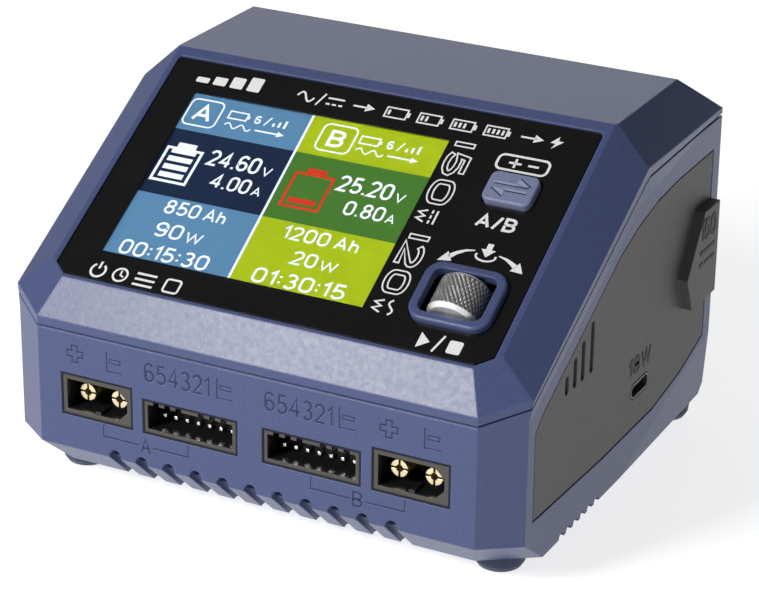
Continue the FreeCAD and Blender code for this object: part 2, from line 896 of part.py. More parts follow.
def panel_openings():
    """Recess, screen window, roller aperture and button hole, cut square to the slope."""
    recess_line = outline("panel_recess_line", overlay_corners(0.0), FLAT, (0, 0, -D["recess_depth"]))
    recess = extrude("panel_recess", recess_line, CUT_HIGH)
    reach = 1.9
    window = block(
        "lcd_opening",
        (-D["screen_left"] - reach, D["screen_bottom"] - reach, CUT_LOW),
        (D["screen_right"] + reach, D["screen_top"] + reach, CUT_HIGH),
    )
    aperture = panel_rounded("roller_aperture", *APERTURE, CUT_LOW, CUT_HIGH, 2.0)
    hole = button_box("button_hole", BUTTON_GAP, CUT_LOW, CUT_HIGH, 1.6)
    pilots = [rod("control_pilot", 1.05, (u, v, -13.6), 9.0) for u, v in CONTROL_BOSSES]
    openings = group("panel_cutters", [fuse("panel_cutter", [recess, window, aperture, hole])] + pilots)
    openings.Placement = PANEL
    return openings


def control_bosses():
    """The pillars under the panel that the control board is screwed to."""
    deep = D["control_board_depth"]
    bosses = group(
        "control_boss_set",
        [rod("control_boss", 2.4, (u, v, -deep), deep - 1.0) for u, v in CONTROL_BOSSES],
    )
    bosses.Placement = PANEL
    return bosses


def make_top_shell():
    upper = cut("upper_half", SHELL, [BELOW])
    upper_posts = cut("upper_posts", POSTS_INSIDE, [BELOW])
    bosses = common("control_bosses", [OUTER, control_bosses()])
    solid = fuse("top_with_posts", [upper, upper_posts, bosses])
    solid = cut("top_opened", solid, [panel_openings()])
    return keep("top_shell", cut("top_shell", solid, BORES))


# ---------------------------------------------------------------- feet and case screws


def make_feet():
    """Four rubber feet whose stems plug the screw bores."""
    radius = D["foot_radius"]
    high = D["foot_height"]
    stem = 3.0
    section = [
        (0, 0),
        (radius - 1.9, 0),
        (radius - 1.0, 0.45),
        (radius - 0.35, 1.5),
        (radius, high),
        (stem, high),
        (stem, high + stem),
        (0, high + stem),
    ]
    feet = []
    for label, (x, y, _) in FOOT_PLACES.items():
        foot = turned(f"foot_{label}", section)
        foot.Placement = Placement(Vector(x.value, y.value, 0), FLAT)
        feet.append(foot)
    keep("feet", group("feet", feet))


def socket_screw(name, base, direction, length, radius, head_radius, head_height):
    """A screw whose head sits at the base point and whose shank runs along the direction."""
    shank = rod(f"{name}_shank", radius, base, length, direction)
    sunk = [b - as_size(head_height) * d for b, d in zip([as_size(b) for b in base], direction)]
    head = rod(f"{name}_head", head_radius, sunk, head_height, direction)
    drive = rod(f"{name}_drive", head_radius * 0.45, sunk, head_height * 0.6, direction)
    return cut(f"{name}_screw", fuse(f"{name}_blank", [shank, head]), [drive])


def make_case_screws():
    screws = [
        socket_screw(f"case_{label}", (x, y, seat), Z_AXIS, D["screw_length"], D["screw_radius"], 2.8, 2.2)
        for label, (x, y, seat) in FOOT_PLACES.items()
    ]
    keep("case_screws", group("case_screws", screws))


# ---------------------------------------------------------------- side covers

BADGE_OUTLINE = [
    (28.3, 37.0),
    (31.8, 29.3),
    (44.4, 29.3),
    (44.4, 49.2),
    (36.2, 49.2),
]


def make_side_covers():
    inner_face = HALF_WIDTH - D["cover_recess"]
    sheet = cover_sheet("cover_plate", inner_face, inner_face + D["cover_thickness"], D["cover_gap"])
    badge_line = outline("badge_line", BADGE_OUTLINE, LOOK_ALONG_X, (HALF_WIDTH - 1.0, 0, 0))
    badge = extrude("badge", badge_line, D["badge_height"] + 1.0)
    blank = fuse("cover_blank", [sheet, badge])
    vents = side_vents("cover", 50.0, 10.0)
    plain = cut("cover_vented", blank, vents)
    keep("right_side_cover", cut("right_cover", plain, usb_hole("cover", 0.25, 50.0, 10.0)))
    keep("left_side_cover", mirrored("left_cover", plain))


# ---------------------------------------------------------------- control panel pieces


BEZEL = (26.7, 43.5, 7.3, 21.0)  # outline of the ring round the roller: left, right, bottom, top
BEZEL_HOLE = (28.5, 41.7, 9.0, 19.3)


def grown(box, by):
    """The same (left, right, bottom, top) pushed out by an amount on every side."""
    left, right, bottom, top = box
    return left - by, right + by, bottom - by, top + by


def make_overlay():
    """The black display overlay, with openings for the screen, the roller bezel and the button."""
    body = new_body("overlay_body")
    sketch = body_sketch(body, "overlay_outline")
    draw(sketch, overlay_corners(0.3))
    draw(
        sketch,
        rectangle(-D["screen_left"], D["screen_right"], D["screen_bottom"], D["screen_top"]),
    )
    pad(body, sketch, D["overlay_thickness"])
    body.Placement = on_panel(0, 0, -D["recess_depth"].value)
    bezel_hole = panel_rounded("overlay_bezel_hole", *grown(BEZEL, 0.2), -2.0, 4.0, 3.6)
    button_hole = button_box("overlay_button_hole", BUTTON_GAP, -2.0, 4.0, 1.6)
    holes = group("overlay_holes", [bezel_hole, button_hole])
    holes.Placement = PANEL
    keep("display_overlay", cut("overlay", body, [holes]))


def screen_block(name, reach, low, high):
    """A block as large as the screen's opening, or larger by reach on every side."""
    return block(
        name,
        (-D["screen_left"] - reach, D["screen_bottom"] - reach, low),
        (D["screen_right"] + reach, D["screen_top"] + reach, high),
    )


def make_screen():
    """Clear window, LCD glass, its metal back and the plastic spacer behind it."""
    floor = -D["recess_depth"]
    tray_floor = floor - 3.8
    deep = -D["control_board_depth"]
    keep("screen_window", screen_block("lens_block", -0.1, floor + 0.05, floor + 0.55), PANEL)
    keep("lcd_glass", screen_block("glass_block", 0.9, floor - 1.3, floor - 0.05), PANEL)
    outer = screen_block("tray_outer", 1.5, tray_floor, floor - 0.9)
    inner = screen_block("tray_inner", 1.0, tray_floor + 0.6, 0)
    keep("lcd_tray", cut("lcd_tray", outer, [inner]), PANEL)
    frame = screen_block("spacer_outer", -2.0, deep, tray_floor)
    hollow = screen_block("spacer_inner", -4.0, deep - 1, 0)
    keep("lcd_spacer", cut("lcd_spacer", frame, [hollow]), PANEL)


ROLLER_HALF = D["roller_length"] / 2
EAR_GAP = 0.3
EAR_THICKNESS = 1.2


def make_bezel():
    """Raised ring round the roller, relieved underneath for the ears that hold the axle."""
    outer = panel_rounded("bezel_outer", *BEZEL, -D["recess_depth"], 1.3, 3.5)
    outer = rounded_top("bezel_crown", outer, 0.6)
    inner = panel_rounded("bezel_inner", *BEZEL_HOLE, -3.0, 3.0, 1.9)
    relief = block("bezel_relief", (31.9, 7.9, -3.0), (38.3, 20.4, 0.4))
    keep("roller_bezel", cut("roller_bezel", outer, [inner, relief]), PANEL)


def make_roller():
    """Thumb roller with chamfered ends; its axle runs up the slope."""
    radius = D["roller_radius"]
    bore = D["axle_radius"] + 0.03
    half = ROLLER_HALF
    section = [
        (bore, -half),
        (radius - 0.7, -half),
        (radius, -half + 0.7),
        (radius, half - 0.7),
        (radius - 0.7, half),
        (3.2, half),
        (3.2, half - 1.6),
        (bore, half - 1.6),
    ]
    along_v = Rotation(Z_AXIS, Y_AXIS)
    u = D["roller_u"].value
    v = D["roller_v"].value
    w = -D["roller_depth"].value
    keep("thumb_roller", turned("roller_body", section), on_panel(u, v, w, along_v))
    magnet = [(1.2, half - 1.5), (3.1, half - 1.5), (3.1, half - 0.1), (1.2, half - 0.1)]
    keep("encoder_magnet", turned("magnet_body", magnet), on_panel(u, v, w, along_v))
    reach = half + EAR_GAP + EAR_THICKNESS
    start = (D["roller_u"], D["roller_v"] - reach, -D["roller_depth"])
    keep("roller_axle", rod("axle_rod", D["axle_radius"], start, reach * 2, Y_AXIS), PANEL)


CRADLE_FLOOR = 9.4
CRADLE_THICKNESS = 1.2


def make_cradle():
    """The sliding cradle: two ears that hold the axle, on a base plate."""
    u = D["roller_u"]
    v = D["roller_v"]
    near = ROLLER_HALF + EAR_GAP
    far = near + EAR_THICKNESS
    axis_w = -D["roller_depth"]
    floor_top = CRADLE_THICKNESS - CRADLE_FLOOR
    ears = []
    for index, low_v in enumerate((v - far, v + near)):
        high_v = low_v + EAR_THICKNESS
        ears.append(block(f"ear_{index}", (u - 2.4, low_v, -CRADLE_FLOOR), (u + 2.4, high_v, axis_w)))
        ears.append(rod(f"ear_top_{index}", 1.5, (u, low_v, axis_w), EAR_THICKNESS, Y_AXIS))
    base = block("cradle_base", (u - 5.2, v - far, -CRADLE_FLOOR), (u + 5.2, v + far, floor_top))
    hole = rod("axle_hole", D["axle_radius"], (u, v - 9, axis_w), 18.0, Y_AXIS)
    solid = cut("cradle", fuse("cradle_blank", ears + [base]), [hole])
    keep("roller_cradle", solid, PANEL)
    sensor = block("sensor_block", (u - 1.5, v + 0.6, floor_top), (u + 1.5, v + 3.6, floor_top + 0.7))
    keep("encoder_sensor", sensor, PANEL)


def make_roller_guide():
    """The fixed frame on the control board in which the cradle slides."""
    u = D["roller_u"]
    v = D["roller_v"]
    deep = -D["control_board_depth"]
    outer = block("guide_outer", (u - 6.4, v - 6.9, deep), (u + 6.4, v + 6.9, -5.2))
    inner = block("guide_inner", (u - 5.5, v - 5.9, deep - 1), (u + 5.5, v + 5.9, 0))
    keep("roller_guide", cut("roller_guide", outer, [inner]), PANEL)


SWITCH_TOP = 10.0
PLUNGER_RADIUS = 1.6


def make_tact_switch(name, u, v, plunger_top):
    """A square tact switch on the control board and the plunger that stands out of it."""
    deep = -D["control_board_depth"]
    body = block(f"{name}_block", (u - 3.0, v - 3.0, deep), (u + 3.0, v + 3.0, -SWITCH_TOP))
    well = rod(f"{name}_well", PLUNGER_RADIUS + 0.1, (u, v, -SWITCH_TOP - 1.6), 3.0)
    keep(f"{name}_switch", cut(f"{name}_case", body, [well]), PANEL)
    low = -SWITCH_TOP - 0.9
    stem = rod(f"{name}_stem", PLUNGER_RADIUS, (u, v, low), -plunger_top - low)
    keep(f"{name}_plunger", stem, PANEL)


STEM_FOOT = 9.4


def make_port_button():
    """Button cap with a retaining flange under the panel and a stem down to its switch."""
    u = D["button_u"]
    v = D["button_v"]
    flange_w = -3.6
    cap = button_box("button_cap", 0.0, flange_w, D["button_proud"], 1.5)
    cap = rounded_top("button_crown", cap, 0.45)
    flange = centred_block("button_flange", (u, v, flange_w), (12.6, 9.4, 1.2))
    stem = rod("button_stem", 2.0, (u, v, -STEM_FOOT), 5.5)
    keep("port_button", fuse("port_button", [cap, flange, stem]), PANEL)


# ---------------------------------------------------------------- boards


def make_control_board():
    """The board under the panel, its four screws, its chips and the buzzer."""
    board = plate(
        "control_board_body",
        [(-39.0, 2.6), (38.0, 2.6), (44.8, 12.0), (44.8, 56.4), (-44.8, 56.4), (-44.8, 12.0)],
        D["board_thickness"],
        [(place, 1.1) for place in CONTROL_BOSSES],
    )
    depth = D["control_board_depth"].value + D["board_thickness"].value
    keep("control_board", board, on_panel(0, 0, -depth))
    heads = [
        socket_screw(f"control_{index}", (u, v, -depth), Z_AXIS, 6.5, 1.0, 1.9, 1.3)
        for index, (u, v) in enumerate(CONTROL_BOSSES)
    ]
    keep("control_board_screws", group("control_screws", heads), PANEL)
    chips = [
        centred_block("mcu_chip", (-10.0, 28.0, -depth - 0.7), (12.0, 12.0, 1.4)),
        centred_block("driver_chip", (14.0, 40.0, -depth - 0.6), (7.0, 7.0, 1.2)),
        centred_block("memory_chip", (-26.0, 40.0, -depth - 0.6), (6.0, 5.0, 1.2)),
    ]
    keep("control_chips", group("control_chips", chips), PANEL)
    buzzer_u = -10.0
    buzzer_v = 28.0
    can = rod("buzzer_can", 4.5, (buzzer_u, buzzer_v, -D["control_board_depth"]), 5.0)
    buzzer = cut("buzzer_case", can, [rod("buzzer_hole", 1.0, (buzzer_u, buzzer_v, -10.0), 4.0)])
    keep("buzzer", buzzer, PANEL)


MAIN_HALF = 50.0
MAIN_NECK = 41.0


def make_main_board():
    """The power board: notched round the case posts and screwed to four pillars."""
    board = plate(
        "main_board_body",
        [
            (-MAIN_NECK, -45.0),
            (MAIN_NECK, -45.0),
            (MAIN_NECK, -30.0),
            (MAIN_HALF, -30.0),
            (MAIN_HALF, 35.5),
            (MAIN_NECK, 35.5),
            (MAIN_NECK, 45.0),
            (-MAIN_NECK, 45.0),
            (-MAIN_NECK, 35.5),
            (-MAIN_HALF, 35.5),
            (-MAIN_HALF, -30.0),
            (-MAIN_NECK, -30.0),
        ],
        D["board_thickness"],
        [(place, 1.6) for place in BOARD_PLACES],
    )
    low = D["main_board_top"] - D["board_thickness"]
    keep("main_board", board, Placement(Vector(0, 0, low.value), FLAT))
    screws = [
        socket_screw(f"board_{index}", (x, y, D["main_board_top"]), -Z_AXIS, 7.0, 1.25, 2.4, 1.5)
        for index, (x, y) in enumerate(BOARD_PLACES)
    ]
    keep("main_board_screws", group("main_board_screws", screws))


# ---------------------------------------------------------------- connectors


FRONT_FACE = 0.1 - HALF_DEPTH  # where the sockets' mouths are, just inside the front wall's face
REAR_FACE = HALF_DEPTH - 0.1
CONTACT_DEPTH = 2.4


def make_power_connector(name, x, front, facing):
    """A two-pole bullet connector: a keyed shroud with two split contacts.

    front is the y of its open face and facing is +1 where that face looks towards -Y.
    """
    rim = 0.95
    cavity = 9.0
    chamfer = 2.0
    middle = (x, front + facing * D["xt_length"] / 2, XT_Z)
    sizes = (D["xt_width"], D["xt_length"], D["xt_height"])
    shroud = centred_block(f"{name}_shroud", middle, sizes)
    right = D["xt_width"] / 2 - rim
    up = D["xt_height"] / 2 - rim
    key = outline(
        f"{name}_key",
        [
            (x - right, XT_Z - up),
            (x + right - chamfer, XT_Z - up),
            (x + right, XT_Z - up + chamfer),
            (x + right, XT_Z + up - chamfer),
            (x + right - chamfer, XT_Z + up),
            (x - right, XT_Z + up),
        ],
        LOOK_ALONG_Y,
        (0, front, 0),
    )
    backward = cavity if facing > 0 else 1.0
    forward = 1.0 if facing > 0 else cavity
    mouth = extrude(f"{name}_mouth", key, forward, backward)
    nub = centred_block(f"{name}_nub", (x, front + facing * 2.2, XT_Z - up + 0.25), (1.2, 3.6, 0.5))
    inwards = Y_AXIS * facing
    tip = front + facing * CONTACT_DEPTH
    poles = []
    wells = []
    for index, sign in enumerate((-1, 1)):
        pole_x = x + sign * D["xt_pitch"] / 2
        base = (pole_x, front, XT_Z)
        wells.append(rod(f"{name}_well_{index}", D["xt_contact_radius"], base, D["xt_length"], inwards))
        poles.append(split_contact(f"{name}_pole_{index}", pole_x, tip, facing))
    solid = fuse(f"{name}_solid", [cut(f"{name}_hollow", shroud, [mouth]), nub])
    keep(name, cut(name, solid, wells))
    keep(f"{name}_contacts", group(f"{name}_contacts", poles))


def split_contact(name, x, start, facing):
    """A gold bullet contact, slit crosswise so that its tip springs, with a board tail."""
    along = Y_AXIS * facing
    barrel = rod(f"{name}_barrel", D["xt_contact_radius"], (x, start, XT_Z), 13.5, along)
    bore = rod(f"{name}_bore", 0.75, (x, start, XT_Z), 7.0, along)
    slit = 0.45
    slit_middle = (x, start + facing * 3.0, XT_Z)
    slits = [
        centred_block(f"{name}_slit_0", slit_middle, (slit, 6.4, 4.0)),
        centred_block(f"{name}_slit_1", slit_middle, (4.0, 6.4, slit)),
    ]
    return cut(name, barrel, [bore] + slits)


def make_balance_header(name, x):
    """A seven-way balance socket: open-fronted shroud with a castellated roof, and its pins."""
    front = FRONT_FACE
    back = front + D["xh_length"]
    half_w = D["xh_width"] / 2
    low = D["main_board_top"]
    high = low + D["xh_height"]
    lip = 0.8
    shroud = block(f"{name}_shroud", (x - half_w, front, low), (x + half_w, back, high))
    mouth = block(
        f"{name}_mouth",
        (x - half_w + lip, front - 1, low + lip),
        (x + half_w - lip, front + 7.0, high - lip),
    )
    notches = [
        centred_block(f"{name}_notch_{index}", (x + offset, front, high), (1.3, 5.0, 1.8))
        for index, offset in enumerate((-7.5, -5.0, -2.5, 2.5, 5.0, 7.5))
    ]
    tip = front + 3.2
    sizes = (D["xh_pin"], back - tip, D["xh_pin"])
    pins = []
    wells = []
    for index in range(7):
        centre = (x + (index - 3) * D["xh_pitch"], (tip + back) / 2, low + 2.7)
        pins.append(centred_block(f"{name}_pin_{index}", centre, sizes))
        wells.append(centred_block(f"{name}_well_{index}", centre, sizes))
    keep(name, cut(name, shroud, [mouth] + notches + wells))
    keep(f"{name}_pins", group(f"{name}_pins", pins))


def make_usb_port():
    """USB-C socket on its own small board at the right-hand side."""
    board_low = D["main_board_top"]
    board = plate(
        "usb_board_body",
        rectangle(34.0, 51.5, D["usb_y"] - 8.5, D["usb_y"] + 6.0),
        D["board_thickness"],
    )
    keep("usb_board", board, Placement(Vector(0, 0, board_low.value), FLAT))
    radius = D["usb_height"] / 2
    half = (D["usb_width"] - D["usb_height"]) / 2
    centre = (0, D["usb_y"], USB_Z)
    rim = 0.35
    rods = stadium_rods("usb_outer", centre, half, radius, 47.6, 7.4, ALONG_X, ALONG_Y)
    inner = stadium_rods("usb_inner", centre, half, radius - rim, 48.4, 8.0, ALONG_X, ALONG_Y)
    keep("usb_c_shell", cut("usb_c_shell", fuse("usb_outer", rods), inner))
    tongue = centred_block("usb_tongue", (51.25, D["usb_y"], USB_Z), (5.7, 6.6, 0.7))
    keep("usb_c_tongue", tongue)


def make_mains_inlet():
    """Two-pin figure-of-eight mains inlet at the rear left."""
    x = -D["inlet_x"]
    z = D["inlet_z"]
    low = D["main_board_top"]
    case = block(
        "inlet_block",
        (x - INLET_WIDTH / 2, REAR_FACE - 19.0, low),
        (x + INLET_WIDTH / 2, REAR_FACE, low + INLET_HEIGHT),
    )
    mouth_floor = REAR_FACE - 12.0
    socket = stadium_rods("inlet_mouth", (x, 0, z), 3.4, 3.9, mouth_floor, 14.0, ALONG_Y, ALONG_X)
    pin_radius = 1.2
    pins = []
    wells = []
    for index, sign in enumerate((-1, 1)):
        base = (x + sign * 4.3, REAR_FACE - 17.0, z)
        pins.append(rod(f"inlet_pin_{index}", pin_radius, base, 14.0, Y_AXIS))
        wells.append(rod(f"inlet_well_{index}", pin_radius, base, 14.0, Y_AXIS))
    keep("mains_inlet", cut("mains_inlet", case, socket + wells))
    keep("mains_inlet_pins", group("mains_inlet_pins", pins))


# ---------------------------------------------------------------- fan


FAN_BACK = HALF_DEPTH - D["wall"] - 0.1
FAN_PLACE = Placement(Vector(0, FAN_BACK.value, D["fan_z"].value), Rotation(X_AXIS, 90))
FAN_BASE = 1.4  # thickness of the plate and struts that carry the bearing tube
TUBE_RADIUS = 2.6
BEARING_RADIUS = 2.0
FAN_SHAFT_RADIUS = 0.75


def make_fan_frame():
    """The fan's square frame, with three struts and a plate that carry its bearing tube."""
    half = D["fan_size"] / 2
    deep = D["fan_thickness"]
    body = new_body("fan_frame_body")
    sketch = body_sketch(body, "fan_frame_outline")
    draw(sketch, rectangle(-half, half, -half, half))
    draw_circle(sketch, (0, 0), half - 0.8)
    for place in fan_corners():
        draw_circle(sketch, place, 1.75)
    pad(body, sketch, deep)
    hub = rod("fan_base", 10.0, (0, 0, deep - FAN_BASE), FAN_BASE)
    base_low = deep.value - FAN_BASE
    struts = []
    for index in range(3):
        turn = Placement(Vector(0, 0, 0), Rotation(Z_AXIS, 90 + 120 * index))
        lengths = (half.value - 0.4, 2.2, FAN_BASE)
        struts.append(turned_box(f"fan_strut_{index}", lengths, (0, -1.1, base_low), turn))
    tube = rod("fan_tube", TUBE_RADIUS, (0, 0, 2.6), deep - 3.0)
    bore = rod("fan_tube_bore", BEARING_RADIUS, (0, 0, 2.0), deep - 2.6)
    solid = fuse("fan_frame_blank", [body, hub, tube] + struts)
    keep("fan_frame", cut("fan_frame", solid, [bore]), FAN_PLACE)


def make_fan_motor():
    """The bearing in the tube, the four-pole stator round it, and the shaft."""
    ring = rod("fan_bearing_outer", BEARING_RADIUS, (0, 0, 2.8), 5.0)
    bore = rod("fan_bearing_bore", FAN_SHAFT_RADIUS + 0.03, (0, 0, 2.0), 7.0)
    keep("fan_bearing", cut("fan_bearing_ring", ring, [bore]), FAN_PLACE)
    stator_low = 3.4
    stator_height = 4.2
    poles = [rod("stator_ring", 4.2, (0, 0, stator_low), stator_height)]
    for index in range(4):
        turn = Placement(Vector(0, 0, stator_low), Rotation(Z_AXIS, 90 * index))
        poles.append(turned_box(f"stator_pole_{index}", (7.6, 3.0, stator_height), (0, -1.5, 0), turn))
    hole = rod("stator_bore", TUBE_RADIUS, (0, 0, 3.0), 6.0)
    keep("fan_stator", cut("fan_stator", fuse("fan_stator_blank", poles), [hole]), FAN_PLACE)
    keep("fan_shaft", rod("fan_shaft", FAN_SHAFT_RADIUS, (0, 0, 1.0), 6.6), FAN_PLACE)


def make_fan_rotor():
    """Cup hub with seven twisted blades."""
    blade_count = 7
    cup = rod("rotor_cup", 10.2, (0, 0, 1.0), 7.2)
    hollow = rod("rotor_hollow", 9.2, (0, 0, 2.0), 7.0)
    shaft_hole = rod("rotor_hole", FAN_SHAFT_RADIUS, (0, 0, 0), 3.0)
    lean = Placement(Vector(9.7, 0, 0), Rotation(X_AXIS, 32))
    blades = []
    for index in range(blade_count):
        turn = Placement(Vector(0, 0, 4.6), Rotation(Z_AXIS, 360.0 * index / blade_count))
        place = turn.multiply(lean)
        blades.append(turned_box(f"rotor_blade_{index}", (8.6, 11.0, 1.0), (0, -5.5, -0.5), place))
    sweep = rod("rotor_sweep", 18.2, (0, 0, 1.4), 6.6)
    trimmed = common("rotor_blades", [fuse("rotor_blade_set", blades), sweep])
    solid = cut("fan_rotor", fuse("fan_rotor_blank", [cup, trimmed]), [hollow, shaft_hole])
    keep("fan_rotor", solid, FAN_PLACE)


def make_fan_screws():
    screws = []
    for index, (x, z) in enumerate(fan_corners()):
        base = (x, HALF_DEPTH, D["fan_z"] + z)
        screws.append(socket_screw(f"fan_{index}", base, -Y_AXIS, 12.0, 1.5, 2.6, 1.4))
    keep("fan_screws", group("fan_screws", screws))


# ---------------------------------------------------------------- power parts on the main board


def make_transformer():
    """A ferrite core with two windows, and the winding round its middle leg."""
    top = D["main_board_top"]
    x = -2.0
    y = 19.0
    frame = block("core_outer", (x - 13, y - 7, top), (x + 13, y + 7, top + 22))
    windows = [
        block("core_window_left", (x - 9.6, y - 13, top + 4), (x - 4.4, y + 13, top + 18)),
        block("core_window_right", (x + 4.4, y - 13, top + 4), (x + 9.6, y + 13, top + 18)),
    ]
    keep("transformer_core", cut("transformer_core", frame, windows))
    coil = block("winding_outer", (x - 9.4, y - 11.8, top + 4.2), (x + 9.4, y + 11.8, top + 17.8))
    coil = rounded_edges("winding_round", coil, 2.0, Z_AXIS)
    opening = block("winding_inner", (x - 4.5, y - 7.1, top), (x + 4.5, y + 7.1, top + 20))
    keep("transformer_winding", cut("transformer_winding", coil, [opening]))


def ring_solid(name, centre, ring_radius, thickness_radius):
    item = doc.addObject("Part::Torus", name)
    item.Radius1 = ring_radius
    item.Radius2 = thickness_radius
    put(item, centre)
    return item


def make_inductors():
    """One toroidal inductor for each output: a core inside a round winding."""
    ring_radius = 7.6
    windings = []
    cores = []
    for label, x in (("a", -14.0), ("b", 14.0)):
        centre = (x, -18.0, D["main_board_top"] + 4.2)
        ring = ring_solid(f"choke_ring_{label}", centre, ring_radius, 4.1)
        core = ring_solid(f"choke_core_{label}", centre, ring_radius, 2.9)
        windings.append(cut(f"choke_winding_{label}", ring, [core]))
        cores.append(core)
    keep("inductor_windings", group("inductor_windings", windings))
    keep("inductor_cores", group("inductor_cores", cores))


def make_capacitors():
    """Four upright cans, each given by its x, y, radius and height."""
    top = D["main_board_top"]
    sizes = [
        (-33.0, 2.0, 8.0, 22.0),
        (-33.0, -14.0, 5.0, 16.0),
        (-33.0, 16.0, 5.0, 20.0),
        (44.0, -24.0, 4.0, 14.0),
    ]
    cans = [
        rod(f"capacitor_{index}", radius, (x, y, top), height)
        for index, (x, y, radius, height) in enumerate(sizes)
    ]
    keep("capacitors", group("capacitors", cans))


def make_heat_sink():
    """Finned aluminium sink with three power transistors clamped to its front."""
    top = D["main_board_top"]
    length = 30.0
    height = 24.0
    fin_count = 9
    fin_thickness = 1.2
    front_y = 18.5
    body = new_body("heat_sink_body")
    base = body_sketch(body, "heat_sink_base")
    draw(base, rectangle(0, length, 0, 3.0))
    pad(body, base, height)
    fin = body_sketch(body, "heat_sink_fin")
    draw(fin, rectangle(0, fin_thickness, 2.9, 12.0))
    fin_pad = pad(body, fin, height)
    doc.recompute()
    rows = body.newObject("PartDesign::LinearPattern", "heat_sink_fins")
    rows.Originals = [fin_pad]
    rows.Direction = (fin, ["H_Axis"])
    rows.Length = length - fin_thickness
    rows.Occurrences = fin_count
    body.Tip = rows
    keep("heat_sink", body, Placement(Vector(13.0, front_y, top.value), FLAT))
    transistors = []
    for index in range(3):
        left = 13.5 + 10.0 * index
        low = (left, front_y - 4.5, top + 3)
        high = (left + 9.0, front_y, top + 18)
        transistors.append(block(f"transistor_{index}", low, high))
    keep("power_transistors", group("power_transistors", transistors))


def make_ribbon():
    """Flat ribbon cable from the main board up to the underside of the control board."""
    angle = math.radians(SLOPE_ANGLE)
    outwards = Vector(0, -math.sin(angle), math.cos(angle))
    board_back = D["control_board_depth"].value + D["board_thickness"].value
    socket_height = 3.0
    cable_u = 32.0
    cable_v = 27.0
    cable_half = 6.0
    socket_half = 7.0
    arrive = PANEL.multVec(Vector(0, cable_v, -board_back - socket_height))
    bend_radius = 12.0
    tangent = bend_radius * math.tan(angle / 2)
    corner = arrive - outwards * (tangent + 5.0)
    socket_top = D["main_board_top"].value + socket_height
    start = Vector(0, corner.y, socket_top)
    bend_start = corner - Vector(0, 0, tangent)
    bend_end = corner + outwards * tangent
    centre = bend_start - Vector(0, bend_radius, 0)
    middle = centre + Vector(0, math.cos(angle / 2), math.sin(angle / 2)) * bend_radius
    path = Part.Wire(
        [
            Part.LineSegment(start, bend_start).toShape(),
            Part.Arc(bend_start, middle, bend_end).toShape(),
            Part.LineSegment(bend_end, arrive).toShape(),
        ]
    )
    section_corner = start + Vector(cable_u - cable_half, -0.2, 0)
    section = Part.makePlane(2 * cable_half, 0.4, section_corner, Z_AXIS, X_AXIS)
    ribbon = doc.addObject("Part::Feature", "ribbon_cable")
    ribbon.Shape = path.makePipeShell([section.OuterWire], True, True)
    keep("ribbon_cable", ribbon)
    low_y = start.y - 2.5
    left = cable_u - socket_half
    right = cable_u + socket_half
    lower = block("lower_socket", (left, low_y, D["main_board_top"]), (right, low_y + 5.0, socket_top))
    upper = block(
        "upper_socket",
        (left, cable_v - 2.5, -board_back - socket_height),
        (right, cable_v + 2.5, -board_back),
    )
    raised = group("raised_socket", [upper])
    raised.Placement = PANEL
    keep("ribbon_sockets", group("ribbon_sockets", [lower, raised]))


# ---------------------------------------------------------------- build and write


def make_everything():
    make_bottom_shell()
    make_top_shell()
    make_feet()
    make_case_screws()
    make_side_covers()
    make_overlay()
    make_screen()
    make_bezel()
    make_roller()
    make_cradle()
    make_roller_guide()
    make_tact_switch("roller", D["roller_u"], D["roller_v"], CRADLE_FLOOR)
    make_tact_switch("port", D["button_u"], D["button_v"], STEM_FOOT)
    make_port_button()
    make_control_board()
    make_main_board()
    make_power_connector("output_a_socket", -D["xt_x"], FRONT_FACE, 1)
    make_power_connector("output_b_socket", D["xt_x"], FRONT_FACE, 1)
    make_power_connector("dc_input_socket", as_size(DC_INPUT_X), REAR_FACE, -1)
    make_balance_header("balance_a_header", -D["xh_x"])
    make_balance_header("balance_b_header", D["xh_x"])
    make_usb_port()
    make_mains_inlet()
    make_fan_frame()
    make_fan_motor()
    make_fan_rotor()
    make_fan_screws()
    make_transformer()
    make_inductors()
    make_capacitors()
    make_heat_sink()
    make_ribbon()


def check_and_write():
    doc.recompute()
    failed = [item.Name for item in doc.Objects if {"Invalid", "Error"} & set(item.State)]
    if failed:
        raise RuntimeError(f"these objects failed: {failed}")
    for name, item in kept:
        if item.Shape.isNull() or not item.Shape.isValid():
            raise RuntimeError(f"{name} has no valid shape")
    os.makedirs("parts", exist_ok=True)
    for name, item in kept:
        item.Shape.exportStep(f"parts/{name}.step")
        print(f"{name}: {len(item.Shape.Solids)} solid(s), {item.Shape.Volume:.1f} mm3")


make_everything()
check_and_write()
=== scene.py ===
import json
import math

import bmesh
import bpy
from mathutils import Matrix, Vector


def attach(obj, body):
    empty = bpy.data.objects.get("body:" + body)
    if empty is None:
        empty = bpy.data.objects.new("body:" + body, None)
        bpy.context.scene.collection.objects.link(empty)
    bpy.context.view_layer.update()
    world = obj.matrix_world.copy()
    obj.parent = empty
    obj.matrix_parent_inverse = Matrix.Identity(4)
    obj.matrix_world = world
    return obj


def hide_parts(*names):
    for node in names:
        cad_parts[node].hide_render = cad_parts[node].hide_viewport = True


# Looks of the twin-channel battery charger. Lengths are in millimetres in the row frame and every
# mesh is scaled to metres when it is made; the lamps and the floor are placed in metres.

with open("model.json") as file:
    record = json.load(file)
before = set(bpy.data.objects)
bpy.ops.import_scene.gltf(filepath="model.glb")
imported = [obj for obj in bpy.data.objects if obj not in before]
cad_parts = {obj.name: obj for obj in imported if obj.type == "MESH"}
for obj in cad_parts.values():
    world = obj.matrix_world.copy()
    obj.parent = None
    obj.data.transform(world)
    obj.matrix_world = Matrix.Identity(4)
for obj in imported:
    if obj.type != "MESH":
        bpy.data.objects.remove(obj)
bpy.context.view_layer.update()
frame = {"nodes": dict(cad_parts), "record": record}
NODES = frame["nodes"]

MM = 0.001

# ---------------------------------------------------------------- reference frames on the object

